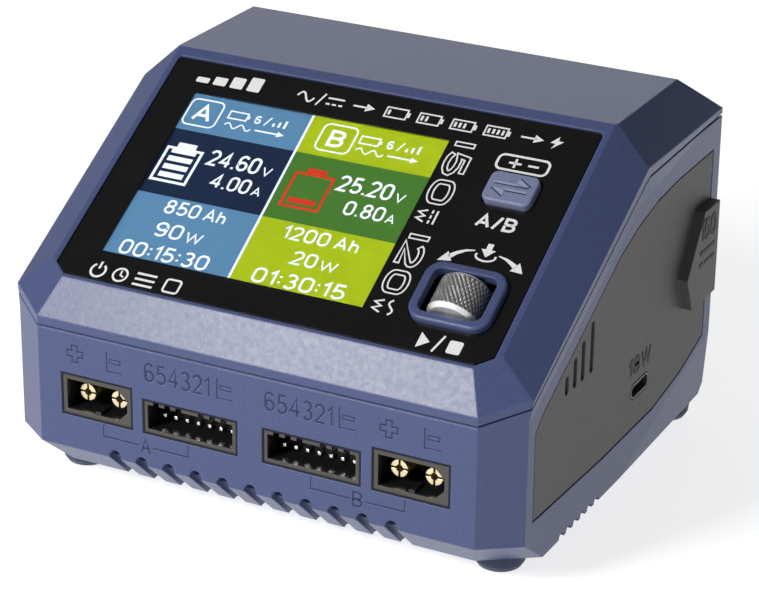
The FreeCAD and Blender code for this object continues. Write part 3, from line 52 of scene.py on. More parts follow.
HALF_DEPTH = 48.5
SIDE_X = 55.0
BADGE_X = 57.2
CASE_TOP = 75.4
SLOPE_FOOT = Vector((0, -44.1, 44.2))
SLOPE_TOP_Y = 7.65
SLOPE_ANGLE = math.atan2(CASE_TOP - SLOPE_FOOT.z, SLOPE_TOP_Y - SLOPE_FOOT.y)

# Heights above the panel's slope.
OVERLAY_TOP = -0.15
PICTURE_LOW = -0.79
PICTURE_TEXT = -0.755
PRINT_THICKNESS = 0.02


def local_frame(origin, right, up):
    """A matrix whose x, y and z run right, up and out of a face of the object, in metres."""
    right = Vector(right)
    up = Vector(up)
    out = right.cross(up)
    matrix = Matrix((right, up, out)).transposed().to_4x4()
    matrix.translation = Vector(origin) * MM
    return matrix


UP_SLOPE = Vector((0, math.cos(SLOPE_ANGLE), math.sin(SLOPE_ANGLE)))
PANEL = local_frame(SLOPE_FOOT, (1, 0, 0), UP_SLOPE)
FRONT = local_frame((0, -HALF_DEPTH, 0), (1, 0, 0), (0, 0, 1))
RIGHT_SIDE = local_frame((SIDE_X, 0, 0), (0, 1, 0), (0, 0, 1))
RIGHT_BADGE = local_frame((BADGE_X, 0, 0), (0, 1, 0), (0, 0, 1))
LEFT_BADGE = local_frame((-BADGE_X, 0, 0), (0, -1, 0), (0, 0, 1))


# ---------------------------------------------------------------- materials


BEVEL_SAMPLES = 4
EDGE_COSINE = 0.86  # cosine of the rounded normal's lean at which an edge gets its full painted highlight
# how much lighter the painted edge highlight is than the colour: a gain and a lift
EDGE_GAIN = 2.4
EDGE_LIFT = 0.02


class Surface:
    """A node material being built: a Principled shader with helpers that add one feature each."""

    def __init__(self, name, colour, roughness, metallic=0.0):
        self.material = bpy.data.materials.new(name)
        self.material.use_nodes = True
        tree = self.material.node_tree
        self.nodes = tree.nodes
        self.links = tree.links
        self.shader = self.nodes["Principled BSDF"]
        self.colour = (*colour, 1.0)
        self.shader.inputs["Base Color"].default_value = self.colour
        self.shader.inputs["Roughness"].default_value = roughness
        self.shader.inputs["Metallic"].default_value = metallic
        self.colour_out = None
        self.normal_out = None
        self.place = self.nodes.new("ShaderNodeTexCoord")

    def set(self, socket, value):
        """Give one input of the shader a constant value."""
        self.shader.inputs[socket].default_value = value
        return self

    def stretched(self, stretch):
        """Object-space coordinates, scaled by a factor along each axis."""
        mapping = self.nodes.new("ShaderNodeMapping")
        mapping.inputs["Scale"].default_value = stretch
        self.links.new(self.place.outputs["Object"], mapping.inputs["Vector"])
        return mapping.outputs["Vector"]

    def noise(self, scale, detail=2.0, stretch=(1, 1, 1)):
        """Noise in object space; scale is in repeats per metre."""
        node = self.nodes.new("ShaderNodeTexNoise")
        node.inputs["Scale"].default_value = scale
        node.inputs["Detail"].default_value = detail
        self.links.new(self.stretched(stretch), node.inputs["Vector"])
        return node.outputs["Fac"]

    def wave(self, scale, direction, stretch=(1, 1, 1)):
        """Smooth parallel ridges across one axis of object space."""
        node = self.nodes.new("ShaderNodeTexWave")
        node.wave_type = "BANDS"
        node.bands_direction = direction
        node.wave_profile = "SIN"
        node.inputs["Scale"].default_value = scale
        self.links.new(self.stretched(stretch), node.inputs["Vector"])
        return node.outputs["Fac"]

    def spread(self, value, low, high):
        """Map a 0 to 1 value onto low to high."""
        node = self.nodes.new("ShaderNodeMapRange")
        node.inputs["To Min"].default_value = low
        node.inputs["To Max"].default_value = high
        self.links.new(value, node.inputs["Value"])
        return node.outputs["Result"]

    def mottle(self, value, dark, light):
        """Vary the base colour between two strengths of itself."""
        node = self.nodes.new("ShaderNodeMix")
        node.data_type = "RGBA"
        node.inputs["A"].default_value = (*[c * dark for c in self.colour[:3]], 1)
        node.inputs["B"].default_value = (*[min(1.0, c * light) for c in self.colour[:3]], 1)
        self.links.new(value, node.inputs["Factor"])
        self.colour_out = node.outputs["Result"]
        self.links.new(self.colour_out, self.shader.inputs["Base Color"])
        return self

    def tint(self, value, colour):
        """Lay another colour over the base where the value is 1."""
        node = self.nodes.new("ShaderNodeMix")
        node.data_type = "RGBA"
        if self.colour_out is None:
            node.inputs["A"].default_value = self.colour
        else:
            self.links.new(self.colour_out, node.inputs["A"])
        node.inputs["B"].default_value = (*colour, 1)
        self.links.new(value, node.inputs["Factor"])
        self.colour_out = node.outputs["Result"]
        self.links.new(self.colour_out, self.shader.inputs["Base Color"])
        return self

    def rough(self, value, low, high):
        """Vary the roughness between two values."""
        self.links.new(self.spread(value, low, high), self.shader.inputs["Roughness"])
        return self

    def soft_edges(self, radius):
        """Round the sharp edges of the mesh in the shading, as a moulding's edges are."""
        node = self.nodes.new("ShaderNodeBevel")
        node.samples = BEVEL_SAMPLES
        node.inputs["Radius"].default_value = radius * MM
        self.normal_out = node.outputs["Normal"]
        self.links.new(self.normal_out, self.shader.inputs["Normal"])
        return self

    def bump(self, value, depth):
        """Relief of a given depth in millimetres."""
        node = self.nodes.new("ShaderNodeBump")
        node.inputs["Strength"].default_value = 1.0
        node.inputs["Distance"].default_value = depth * MM
        self.links.new(value, node.inputs["Height"])
        if self.normal_out is not None:
            self.links.new(self.normal_out, node.inputs["Normal"])
        self.normal_out = node.outputs["Normal"]
        self.links.new(self.normal_out, self.shader.inputs["Normal"])
        return self

    def painted_edge_highlight(self, radius, amount):
        """Paint a highlight on the outward edges: lighten them a little where the rounded edges would catch
        the light.
        """
        bevel = self.nodes.new("ShaderNodeBevel")
        bevel.samples = BEVEL_SAMPLES
        bevel.inputs["Radius"].default_value = radius * MM
        geometry = self.nodes.new("ShaderNodeNewGeometry")
        dot = self.nodes.new("ShaderNodeVectorMath")
        dot.operation = "DOT_PRODUCT"
        self.links.new(bevel.outputs["Normal"], dot.inputs[0])
        self.links.new(geometry.outputs["True Normal"], dot.inputs[1])
        band = self.nodes.new("ShaderNodeMapRange")
        band.inputs["From Min"].default_value = 1.0
        band.inputs["From Max"].default_value = EDGE_COSINE
        band.inputs["To Max"].default_value = amount
        self.links.new(dot.outputs["Value"], band.inputs["Value"])
        lighter = tuple(min(1.0, c * EDGE_GAIN + EDGE_LIFT) for c in self.colour[:3])
        return self.tint(band.outputs["Result"], lighter)


def shade(colour, share):
    """A darker or lighter version of a colour."""
    return tuple(c * share for c in colour)


def moulded(name, colour, roughness, grain=0.012, radius=0.5, painted_highlight=0.35, shine=0.3):
    """Moulded plastic with a fine spark-eroded texture, faint mottling, softened edges and a painted
    highlight along the edges.
    """
    surface = Surface(name, colour, roughness)
    surface.mottle(surface.noise(1300, 3), 0.84, 1.16)
    # a painted highlight along the outward edges
    if painted_highlight:
        surface.painted_edge_highlight(radius, painted_highlight)
    surface.rough(surface.noise(900, 2), roughness - 0.05, roughness + 0.06)
    surface.soft_edges(radius)
    surface.bump(surface.noise(3800, 2), grain)
    surface.set("Specular IOR Level", shine)
    return surface.material


def smooth_plastic(name, colour, roughness, radius=0.2):
    """Plain plastic: slight colour drift, faint orange peel."""
    surface = Surface(name, colour, roughness)
    surface.mottle(surface.noise(240, 2), 0.92, 1.08)
    surface.rough(surface.noise(1300, 2), roughness - 0.04, roughness + 0.08)
    surface.soft_edges(radius)
    surface.bump(surface.noise(1500, 1), 0.006)
    return surface.material


def metal(name, colour, roughness, grain_stretch=(1, 1, 1), grain=0.004):
    """Metal with drawn or turned marks and uneven polish."""
    surface = Surface(name, colour, roughness, 1.0)
    surface.mottle(surface.noise(500, 3, grain_stretch), 0.85, 1.08)
    surface.rough(surface.noise(1400, 3, grain_stretch), roughness * 0.75, roughness * 1.5)
    surface.soft_edges(0.12)
    surface.bump(surface.noise(4200, 2, grain_stretch), grain)
    return surface.material


def socket_plastic(name):
    """Glossy connector plastic whose mouth, near the front face, is paler than its inside."""
    surface = Surface(name, (0.008, 0.008, 0.009), 0.4)
    axes = surface.nodes.new("ShaderNodeSeparateXYZ")
    surface.links.new(surface.place.outputs["Object"], axes.inputs["Vector"])
    mouth = surface.nodes.new("ShaderNodeMapRange")
    mouth.inputs["From Min"].default_value = -(HALF_DEPTH - 0.7) * MM
    mouth.inputs["From Max"].default_value = -(HALF_DEPTH - 0.1) * MM
    surface.links.new(axes.outputs["Y"], mouth.inputs["Value"])
    surface.mottle(surface.noise(300, 2), 0.9, 1.1)
    surface.tint(mouth.outputs["Result"], (0.055, 0.05, 0.045))
    surface.rough(surface.noise(1300, 2), 0.34, 0.48)
    surface.soft_edges(0.12)
    surface.bump(surface.noise(2600, 2), 0.004)
    return surface.material


def circuit_board(name):
    """Green solder mask with tracks showing through."""
    surface = Surface(name, (0.012, 0.12, 0.05), 0.32)
    surface.mottle(surface.noise(300, 2), 0.8, 1.15)
    tracks = surface.wave(260, "DIAGONAL", (1, 1.6, 0.2))
    crest = surface.nodes.new("ShaderNodeMath")
    crest.operation = "GREATER_THAN"
    crest.inputs[1].default_value = 0.82
    surface.links.new(tracks, crest.inputs[0])
    surface.tint(surface.spread(crest.outputs["Value"], 0, 0.55), (0.02, 0.23, 0.08))
    surface.rough(surface.noise(700), 0.25, 0.4)
    surface.bump(tracks, 0.02)
    return surface.material


def wound(name, colour, turns, direction="Z"):
    """Wire or tape wound side by side."""
    surface = Surface(name, colour, 0.34)
    surface.mottle(surface.noise(400, 2), 0.7, 1.2)
    ridges = surface.wave(turns, direction)
    surface.rough(ridges, 0.25, 0.5)
    surface.bump(ridges, 0.12)
    surface.set("Coat Weight", 0.4)
    return surface.material


def rubber(name, colour):
    """Dull rubber, dusty in places."""
    surface = Surface(name, colour, 0.72)
    surface.mottle(surface.noise(420, 3), 0.8, 1.25)
    surface.rough(surface.noise(900, 2), 0.6, 0.85)
    surface.soft_edges(0.4)
    surface.bump(surface.noise(2600, 3), 0.02)
    surface.set("Sheen Weight", 0.15)
    return surface.material


def film(name, colour):
    """Satin printed film with a very fine texture and faint cloudiness."""
    surface = Surface(name, colour, 0.3)
    surface.mottle(surface.noise(70, 3), 0.75, 1.4)
    surface.rough(surface.noise(260, 3), 0.24, 0.36)
    surface.soft_edges(0.12)
    surface.bump(surface.noise(5200, 2), 0.0022)
    surface.set("Specular IOR Level", 0.38)
    return surface.material


def printed_ink(name, colour):
    """Screen-printed ink: slightly uneven cover."""
    surface = Surface(name, colour, 0.42)
    surface.mottle(surface.noise(1800, 2), 0.88, 1.06)
    surface.rough(surface.noise(2600, 2), 0.34, 0.52)
    surface.bump(surface.noise(5200, 2), 0.002)
    return surface.material


def lit_pixels(name, colour, glow):
    """A lit patch of the colour screen, with its pixel grid and slight unevenness of the backlight."""
    surface = Surface(name, shade(colour, 0.3), 0.22)
    grid = surface.wave(1150, "X")
    surface.mottle(grid, 0.96, 1.03)
    broad = surface.noise(26, 1)
    strength = surface.spread(broad, glow * 0.93, glow * 1.07)
    surface.set("Emission Color", (*colour, 1.0))
    surface.links.new(strength, surface.shader.inputs["Emission Strength"])
    surface.rough(surface.noise(900), 0.18, 0.26)
    return surface.material


def clear_cover(name):
    """Clear plastic over the screen."""
    surface = Surface(name, (0.97, 0.98, 1.0), 0.03)
    surface.set("Transmission Weight", 1.0)
    surface.set("IOR", 1.2)
    surface.rough(surface.noise(120, 2), 0.015, 0.05)
    surface.bump(surface.noise(420, 1), 0.0006)
    return surface.material


NAVY = (0.058, 0.076, 0.176)
MATERIALS = {
    "navy_shell": moulded("navy_shell", NAVY, 0.34, 0.02, shine=0.36),
    "foot_rubber": rubber("foot_rubber", (0.022, 0.03, 0.075)),
    "zinc_steel": metal("zinc_steel", (0.6, 0.6, 0.58), 0.3),
    "side_cover": moulded("side_cover", (0.085, 0.085, 0.086), 0.5, 0.014, 0.35, 0.2),
    "overlay_black": film("overlay_black", (0.003, 0.003, 0.0035)),
    "clear_window": clear_cover("clear_window"),
    "lcd_glass": smooth_plastic("lcd_glass", (0.012, 0.013, 0.016), 0.15),
    "tray_steel": metal("tray_steel", (0.56, 0.56, 0.58), 0.3, (1, 8, 1)),
    "inner_plastic": smooth_plastic("inner_plastic", (0.62, 0.61, 0.57), 0.5),
    "roller_metal": metal("roller_metal", (0.85, 0.85, 0.84), 0.3, (6, 1, 1)),
    "circuit_board": circuit_board("circuit_board"),
    "chip_black": smooth_plastic("chip_black", (0.016, 0.016, 0.018), 0.55),
    "socket_black": socket_plastic("socket_black"),
    "gold_contact": metal("gold_contact", (0.95, 0.8, 0.52), 0.3),
    "header_white": smooth_plastic("header_white", (0.78, 0.75, 0.66), 0.45),
    "tinned_pin": metal("tinned_pin", (0.82, 0.82, 0.8), 0.22),
    "fan_plastic": smooth_plastic("fan_plastic", (0.014, 0.014, 0.015), 0.5),
    "winding_copper": wound("winding_copper", (0.55, 0.2, 0.06), 420, "X"),
    "winding_tape": wound("winding_tape", (0.75, 0.52, 0.06), 60, "Z"),
    "ferrite": smooth_plastic("ferrite", (0.03, 0.03, 0.032), 0.6),
    "capacitor_can": smooth_plastic("capacitor_can", (0.02, 0.03, 0.09), 0.35),
    "sink_aluminium": metal("sink_aluminium", (0.75, 0.75, 0.77), 0.34, (1, 1, 6)),
    "ribbon_grey": wound("ribbon_grey", (0.45, 0.45, 0.47), 250, "X"),
}


def dress(node, material):
    """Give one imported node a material."""
    mesh = NODES[node].data
    mesh.materials.clear()
    mesh.materials.append(material)


def dress_cad_nodes():
    """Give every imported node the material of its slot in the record."""
    for entry in frame["record"]["subparts"]:
        dress(entry["node"], MATERIALS[entry["material_slot"]])


# ---------------------------------------------------------------- flat shapes on a face


def curve_to_mesh(curve, name):
    """The mesh of a filled curve, made through an object that is dropped again."""
    holder = bpy.data.objects.new(name, curve)
    bpy.context.scene.collection.objects.link(holder)
    bpy.context.view_layer.update()
    evaluated = holder.evaluated_get(bpy.context.evaluated_depsgraph_get())
    mesh = bpy.data.meshes.new_from_object(evaluated)
    bpy.data.objects.remove(holder)
    return mesh


class Marks:
    """A set of flat marks that lie on one face of the object and make one piece."""

    def __init__(self, name, place, height, thickness, material, slot, body="case"):
        self.name = name
        self.place = place
        self.height = height
        self.thickness = thickness
        self.material = material
        self.body = body
        self.slot = slot
        self.shape = bmesh.new()

    def fill(self, *loops):
        """A filled outline; a loop inside another is a hole."""
        curve = bpy.data.curves.new(self.name, "CURVE")
        curve.dimensions = "2D"
        curve.fill_mode = "BOTH"
        curve.extrude = self.thickness / 2
        for loop in loops:
            spline = curve.splines.new("POLY")
            spline.points.add(len(loop) - 1)
            for point, (x, y) in zip(spline.points, loop):
                point.co = (x, y, 0, 1)
            spline.use_cyclic_u = True
        mesh = curve_to_mesh(curve, self.name)
        self.shape.from_mesh(mesh)
        bpy.data.meshes.remove(mesh)

    def line(self, points, width, closed=False):
        """A band of even width along a path."""
        if closed:
            outer = offset_path(points, width / 2, True)
            inner = offset_path(points, -width / 2, True)
            self.fill(outer, inner)
        else:
            left = offset_path(points, width / 2, False)
            right = offset_path(points, -width / 2, False)
            self.fill(left + right[::-1])

    def text(self, words, box, weight, downwards=False):
        """Generic digits and signs drawn as strokes into (left, right, bottom, top)."""
        for points, closed in lettering(words, box, weight, downwards):
            self.line(points, weight, closed)

    def outlined_text(self, words, box, weight, width, downwards=False):
        """Digits drawn as open outlines of even width round a broad stroke."""
        for points, closed in lettering(words, box, weight, downwards):
            outer = offset_path(points, weight / 2, closed)
            inner = offset_path(points, -weight / 2, closed)
            if closed:
                self.line(outer, width, True)
                self.line(inner, width, True)
            else:
                self.line(outer + inner[::-1], width, True)

    def finish(self):
        """Make the piece: lift the marks to their height and join them to a body."""
        mesh = bpy.data.meshes.new(self.name)
        self.shape.to_mesh(mesh)
        self.shape.free()
        mesh.transform(Matrix.Translation((0, 0, self.height)))
        mesh.transform(Matrix.Scale(MM, 4))
        mesh.materials.append(self.material)
        piece = bpy.data.objects.new(self.name, mesh)
        bpy.context.scene.collection.objects.link(piece)
        piece.matrix_world = self.place
        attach(piece, self.body)


TOUCHING = 1e-9  # points closer than this are one point
MITRE_LIMIT = 0.5  # keeps a very sharp corner from reaching further than twice the distance


def offset_path(points, distance, closed):
    """The same path moved sideways, with mitred corners."""
    moved = []
    count = len(points)
    for index in range(count):
        here = Vector(points[index])
        before = Vector(points[index - 1]) if closed or index > 0 else None
        after = Vector(points[(index + 1) % count]) if closed or index < count - 1 else None
        directions = []
        if before is not None and (here - before).length > TOUCHING:
            directions.append((here - before).normalized())
        if after is not None and (after - here).length > TOUCHING:
            directions.append((after - here).normalized())
        sides = [Vector((-d.y, d.x)) for d in directions]
        normal = sum(sides, Vector((0, 0))).normalized()
        reach = distance / max(MITRE_LIMIT, normal.dot(sides[0]))
        moved.append(tuple(here + normal * reach))
    return moved


def rectangle(left, right, bottom, top):
    return [(left, bottom), (right, bottom), (right, top), (left, top)]


def rounded_rectangle(left, right, bottom, top, radius, steps=5):
    """A rectangle whose corners are arcs of a given number of steps."""
    points = []
    corners = [
        (right - radius, bottom + radius, -90),
        (right - radius, top - radius, 0),
        (left + radius, top - radius, 90),
        (left + radius, bottom + radius, 180),
    ]
    for x, y, start in corners:
        for step in range(steps + 1):
            angle = math.radians(start + 90 * step / steps)
            points.append((x + radius * math.cos(angle), y + radius * math.sin(angle)))
    return points


def arc(x, y, radius, start, end, steps=16, squeeze=1.0):
    """Points along an arc between two angles in degrees, flattened by squeeze."""
    points = []
    for step in range(steps + 1):
        angle = math.radians(start + (end - start) * step / steps)
        points.append((x + radius * math.cos(angle), y + radius * squeeze * math.sin(angle)))
    return points


def ring(x, y, radius, steps=28):
    """Points round a full circle, none of them twice."""
    return arc(x, y, radius, 0, 360 - 360 / steps, steps - 1)


def sine(x, y, width, height, turns=1, steps=18):
    """Points along a sine wave that starts at x, y."""
    return [
        (x + width * s / steps, y + height * math.sin(2 * math.pi * turns * s / steps))
        for s in range(steps + 1)
    ]


# Each sign is one unit high: how wide it is, and its strokes, each with whether it closes on itself.
SIGNS = {
    "0": (0.56, [(rounded_rectangle(0, 0.56, 0, 1, 0.27), True)]),
    "1": (0.24, [([(0, 0.76), (0.24, 1), (0.24, 0)], False)]),
    "2": (0.56, [(arc(0.28, 0.72, 0.28, 165, -35, 9) + [(0, 0), (0.56, 0)], False)]),
    "3": (0.54, [(arc(0.26, 0.76, 0.24, 150, -80, 8) + arc(0.27, 0.26, 0.27, 80, -150, 9), False)]),
    "4": (0.6, [([(0.44, 0), (0.44, 1), (0, 0.28), (0.6, 0.28)], False)]),
    "5": (0.56, [([(0.52, 1), (0.1, 1)] + arc(0.27, 0.31, 0.3, 135, -150, 9), False)]),
    "6": (0.56, [(arc(0.28, 0.72, 0.28, 35, 170, 6) + arc(0.28, 0.29, 0.28, 180, 530, 14), False)]),
    "8": (0.56, [(ring(0.28, 0.76, 0.24, 16), True), (ring(0.28, 0.26, 0.27, 16), True)]),
    "9": (0.56, [(arc(0.28, 0.28, 0.28, 215, 350, 6) + arc(0.28, 0.71, 0.28, 0, 350, 14), False)]),
    "|": (0.0, [([(0, 0), (0, 1)], False)]),
    ":": (0.06, [([(0.03, 0.2), (0.03, 0.34)], False), ([(0.03, 0.62), (0.03, 0.76)], False)]),
    ".": (0.06, [([(0.03, -0.04), (0.03, 0.1)], False)]),
    "/": (0.36, [([(0, -0.04), (0.36, 1.04)], False)]),
    "A": (0.68, [([(0, 0), (0.34, 1), (0.68, 0)], False), ([(0.13, 0.33), (0.55, 0.33)], False)]),
    "B": (
        0.56,
        [
            ([(0.3, 0.52), (0, 0.52), (0, 1)] + arc(0.3, 0.76, 0.24, 90, -90, 7), False),
            ([(0, 0.52), (0, 0)] + arc(0.3, 0.26, 0.26, -90, 90, 7), False),
        ],
    ),
    "V": (0.62, [([(0, 1), (0.31, 0), (0.62, 1)], False)]),
    "W": (0.9, [([(0, 1), (0.22, 0), (0.45, 0.9), (0.68, 0), (0.9, 1)], False)]),
    "h": (0.44, [([(0, 0), (0, 1)], False), (arc(0.22, 0.42, 0.22, 165, 0, 6) + [(0.44, 0)], False)]),
}
SIGN_GAP = 0.27
LEAST_WIDTH = 0.3  # keeps a lone upright stroke from being stretched across its box


def lettering(words, box, weight, downwards=False):
    """The strokes of some signs, fitted into a box so that their inked edges touch its sides."""
    total = sum(SIGNS[sign][0] for sign in words) + SIGN_GAP * (len(words) - 1)
    total = max(total, LEAST_WIDTH)
    inset = weight / 2
    left = box[0] + inset
    bottom = box[2] + inset
    wide = box[1] - box[0] - weight
    high = box[3] - box[2] - weight
    top = bottom + high
    strokes = []
    start = 0.0
    for sign in words:
        width, paths = SIGNS[sign]
        for path, closed in paths:
            if downwards:
                points = [(left + wide * y, top - high * (start + x) / total) for x, y in path]
            else:
                points = [(left + wide * (start + x) / total, bottom + high * y) for x, y in path]
            strokes.append((points, closed))
        start += width + SIGN_GAP
    return strokes


# ---------------------------------------------------------------- the screen's picture

SCREEN = (-39.4, 18.0, 7.7, 49.7)
DIVIDER_TOP = -12.2
DIVIDER_BOTTOM = -11.2
HEADER_LOW = 40.3
MIDDLE_LOW = 23.7
READING_WEIGHT = 0.14  # thickness of a reading's strokes, as a share of its height

# What each line of the picture says and its box: left, right, bottom, top.
READINGS = [
    ("24.60", (-28.8, -17.2, 32.9, 36.9)),
    ("V", (-16.4, -14.3, 32.9, 35.2)),
    ("4.00", (-25.6, -16.9, 27.8, 31.4)),
    ("A", (-16.2, -14.2, 27.8, 30.0)),
    ("850", (-31.9, -24.1, 19.7, 23.1)),
    ("Ah", (-23.0, -18.2, 19.7, 22.8)),
    ("90", (-31.3, -25.2, 14.0, 17.6)),
    ("W", (-24.3, -20.6, 14.0, 16.6)),
    ("00:15:30", (-36.4, -16.7, 8.4, 12.0)),
    ("25.20", (0.2, 12.0, 33.0, 37.0)),
    ("V", (12.8, 14.9, 33.0, 35.3)),
    ("0.80", (4.0, 12.6, 27.8, 31.3)),
    ("A", (13.2, 15.1, 27.8, 30.0)),
    ("1200", (-5.4, 4.6, 19.6, 22.9)),
    ("Ah", (5.9, 11.0, 19.6, 22.6)),
    ("20", (-1.0, 4.4, 14.2, 17.5)),
    ("W", (5.2, 8.9, 14.2, 16.6)),
    ("01:30:15", (-6.8, 13.0, 8.5, 12.1)),
]


def divider_at(v):
    """How far right the leaning white divider stands at a height on the panel."""
    share = (v - SCREEN[2]) / (SCREEN[3] - SCREEN[2])
    return DIVIDER_BOTTOM + (DIVIDER_TOP - DIVIDER_BOTTOM) * share


def screen_area(name, side, bottom, top, material):
    """One coloured field of the picture, left or right of the divider."""
    left = [(SCREEN[0], bottom), (divider_at(bottom), bottom), (divider_at(top), top), (SCREEN[0], top)]
    right = [(divider_at(bottom), bottom), (SCREEN[1], bottom), (SCREEN[1], top), (divider_at(top), top)]
    marks = Marks(name, PANEL, PICTURE_LOW, PRINT_THICKNESS, material, "lcd_glass")
    marks.fill(left if side < 0 else right)
    marks.finish()


BATTERY_LINE = 0.6
TERMINAL_HEIGHT = 1.5
TERMINAL_HALF = 2.1
BAR_HEIGHT = 1.25
BAR_PITCH = 2.05
BAR_MARGIN = 1.5


def battery_picture(name, left, right, bottom, top, level, material):
    """A battery outline with a terminal on top and bars for its charge."""
    outline = Marks(f"{name}_outline", PANEL, PICTURE_TEXT, PRINT_THICKNESS, material, "lcd_glass")
    body_top = top - TERMINAL_HEIGHT
    outline.line(rectangle(left + 0.35, right - 0.35, bottom + 0.35, body_top - 0.35), BATTERY_LINE, True)
    middle = (left + right) / 2
    outline.fill(rectangle(middle - TERMINAL_HALF, middle + TERMINAL_HALF, body_top, top - 0.3))
    outline.finish()
    bars = Marks(f"{name}_bars", PANEL, PICTURE_TEXT, PRINT_THICKNESS, material, "lcd_glass")
    for index in range(level):
        low = bottom + 1.3 + index * BAR_PITCH
        bars.fill(rectangle(left + BAR_MARGIN, right - BAR_MARGIN, low, low + BAR_HEIGHT))
    bars.finish()


def make_screen():
    """The lit picture: two columns of three fields, with readings and charge symbols."""
    blue = lit_pixels("screen_blue", (0.105, 0.26, 0.44), 0.78)
    navy = lit_pixels("screen_navy", (0.006, 0.019, 0.06), 0.72)
    lime = lit_pixels("screen_lime", (0.52, 0.68, 0.006), 0.6)
    green = lit_pixels("screen_green", (0.06, 0.19, 0.022), 0.82)
    white = lit_pixels("screen_white", (0.9, 0.95, 1.0), 0.95)
    red = lit_pixels("screen_red", (0.62, 0.035, 0.01), 0.85)
    screen_area("screen_header_left", -1, HEADER_LOW, SCREEN[3], blue)
    screen_area("screen_middle_left", -1, MIDDLE_LOW, HEADER_LOW, navy)
    screen_area("screen_lower_left", -1, SCREEN[2], MIDDLE_LOW, blue)
    screen_area("screen_header_right", 1, HEADER_LOW, SCREEN[3], lime)
    screen_area("screen_middle_right", 1, MIDDLE_LOW, HEADER_LOW, green)
    screen_area("screen_lower_right", 1, SCREEN[2], MIDDLE_LOW, lime)

    lines = Marks("screen_lines", PANEL, PICTURE_TEXT, PRINT_THICKNESS, white, "lcd_glass")
    lines.line([(DIVIDER_BOTTOM, SCREEN[2]), (DIVIDER_TOP, SCREEN[3])], 0.5)
    for box_left in (-39.0, -8.7):
        lines.line(rounded_rectangle(box_left, box_left + 7.4, 41.8, 48.5, 1.3), 0.36, True)
    lines.finish()

    figures = Marks("screen_figures", PANEL, PICTURE_TEXT, PRINT_THICKNESS, white, "lcd_glass")
    figures.text("A", (-37.4, -33.2, 43.0, 47.4), 0.7)
    figures.text("B", (-6.7, -3.2, 43.0, 47.2), 0.7)
    header_signs(figures, -30.0)
    header_signs(figures, -0.4)
    for words, box in READINGS:
        figures.text(words, box, READING_WEIGHT * (box[3] - box[2]))
    figures.finish()
    battery_picture("screen_battery_a", -38.8, -30.3, 26.8, 37.3, 4, white)
    battery_picture("screen_battery_b", -9.6, -0.7, 26.9, 37.3, 1, red)


def header_signs(figures, left):
    """Generic header of a channel: a cell, its count, rising bars, a wave and an arrow."""
    low = 43.4
    figures.line(rectangle(left + 0.3, left + 4.4, 45.2, 47.0), 0.32, True)
    figures.fill(rectangle(left + 4.55, left + 5.0, 45.7, 46.5))
    figures.text("6", (left + 6.2, left + 7.6, 45.0, 47.1), 0.36)
    figures.line([(left + 8.6, 45.0), (left + 9.6, 47.2)], 0.3)
    for index in range(3):
        x = left + 10.6 + index * 1.25
        figures.line([(x, 45.1), (x, 45.9 + 0.55 * index)], 0.5)
    figures.line(sine(left + 0.4, low, 6.0, 0.65, 2, 14), 0.3)
    figures.line([(left + 7.4, low), (left + 12.6, low)], 0.36)
    figures.fill([(left + 12.4, low - 0.7), (left + 14.0, low), (left + 12.4, low + 0.7)])


# ---------------------------------------------------------------- printing on the overlay


PRINT_LINE = 0.42


def right_arrow(ink, start, end, middle):
    """A printed arrow that points right and ends just past a given place."""
    ink.line([(start, middle), (end, middle)], PRINT_LINE)
    ink.fill([(end - 0.6, middle - 1.0), (end + 1.4, middle), (end - 0.6, middle + 1.0)])


def top_row(ink):
    """A row of small generic symbols along the overlay's top edge."""
    low = 52.0
    high = 55.2
    middle = (low + high) / 2
    ink.line(sine(-17.6, middle, 3.8, 1.1), PRINT_LINE)
    ink.line([(-12.9, low), (-11.7, high)], 0.4)
    ink.line([(-10.9, middle + 0.7), (-7.2, middle + 0.7)], PRINT_LINE)
    for index in range(3):
        start = -10.9 + index * 1.4
        ink.line([(start, middle - 0.8), (start + 0.9, middle - 0.8)], PRINT_LINE)
    right_arrow(ink, -5.0, -1.6, middle)
    for index in range(4):
        left = 2.2 + index * 7.2
        ink.line(rectangle(left, left + 4.6, low + 0.4, high - 0.4), 0.34, True)
        ink.fill(rectangle(left + 4.8, left + 5.3, middle - 0.6, middle + 0.6))
        for bar in range(index + 1):
            x = left + 0.75 + bar * 1.0
            ink.line([(x, low + 1.0), (x, high - 1.0)], 0.5)
    right_arrow(ink, 31.4, 34.8, middle)
    flash = [
        (39.0, high),
        (37.6, middle - 0.2),
        (38.7, middle - 0.2),
        (38.2, low),
        (40.2, middle + 0.5),
        (39.1, middle + 0.5),
    ]
    ink.fill(flash)


def corner_symbols(ink):
    """Neutral marks near the overlay's left corners."""
    for index in range(4):
        left = -40.6 + index * 3.9
        ink.fill(rounded_rectangle(left, left + 2.9, 52.3, 52.9 + 0.75 * (index + 1), 0.28, 3))
    y = 3.2
    ink.line(arc(-37.6, y, 1.55, 125, 415, 22), 0.5)
    ink.line([(-37.6, y + 0.4), (-37.6, y + 2.1)], 0.5)
    ink.line(ring(-32.6, y, 1.5), 0.45, True)
    ink.line([(-32.6, y + 1.0), (-32.6, y), (-31.8, y - 0.4)], 0.36)
    for index in range(3):
        ink.line([(-29.3, y - 1.3 + index * 1.3), (-24.9, y - 1.3 + index * 1.3)], 0.5)
    ink.line(rounded_rectangle(-22.6, -19.4, y - 1.5, y + 1.5, 0.6), 0.45, True)


RATING_STROKE = 1.0
RATING_LINE = 0.32


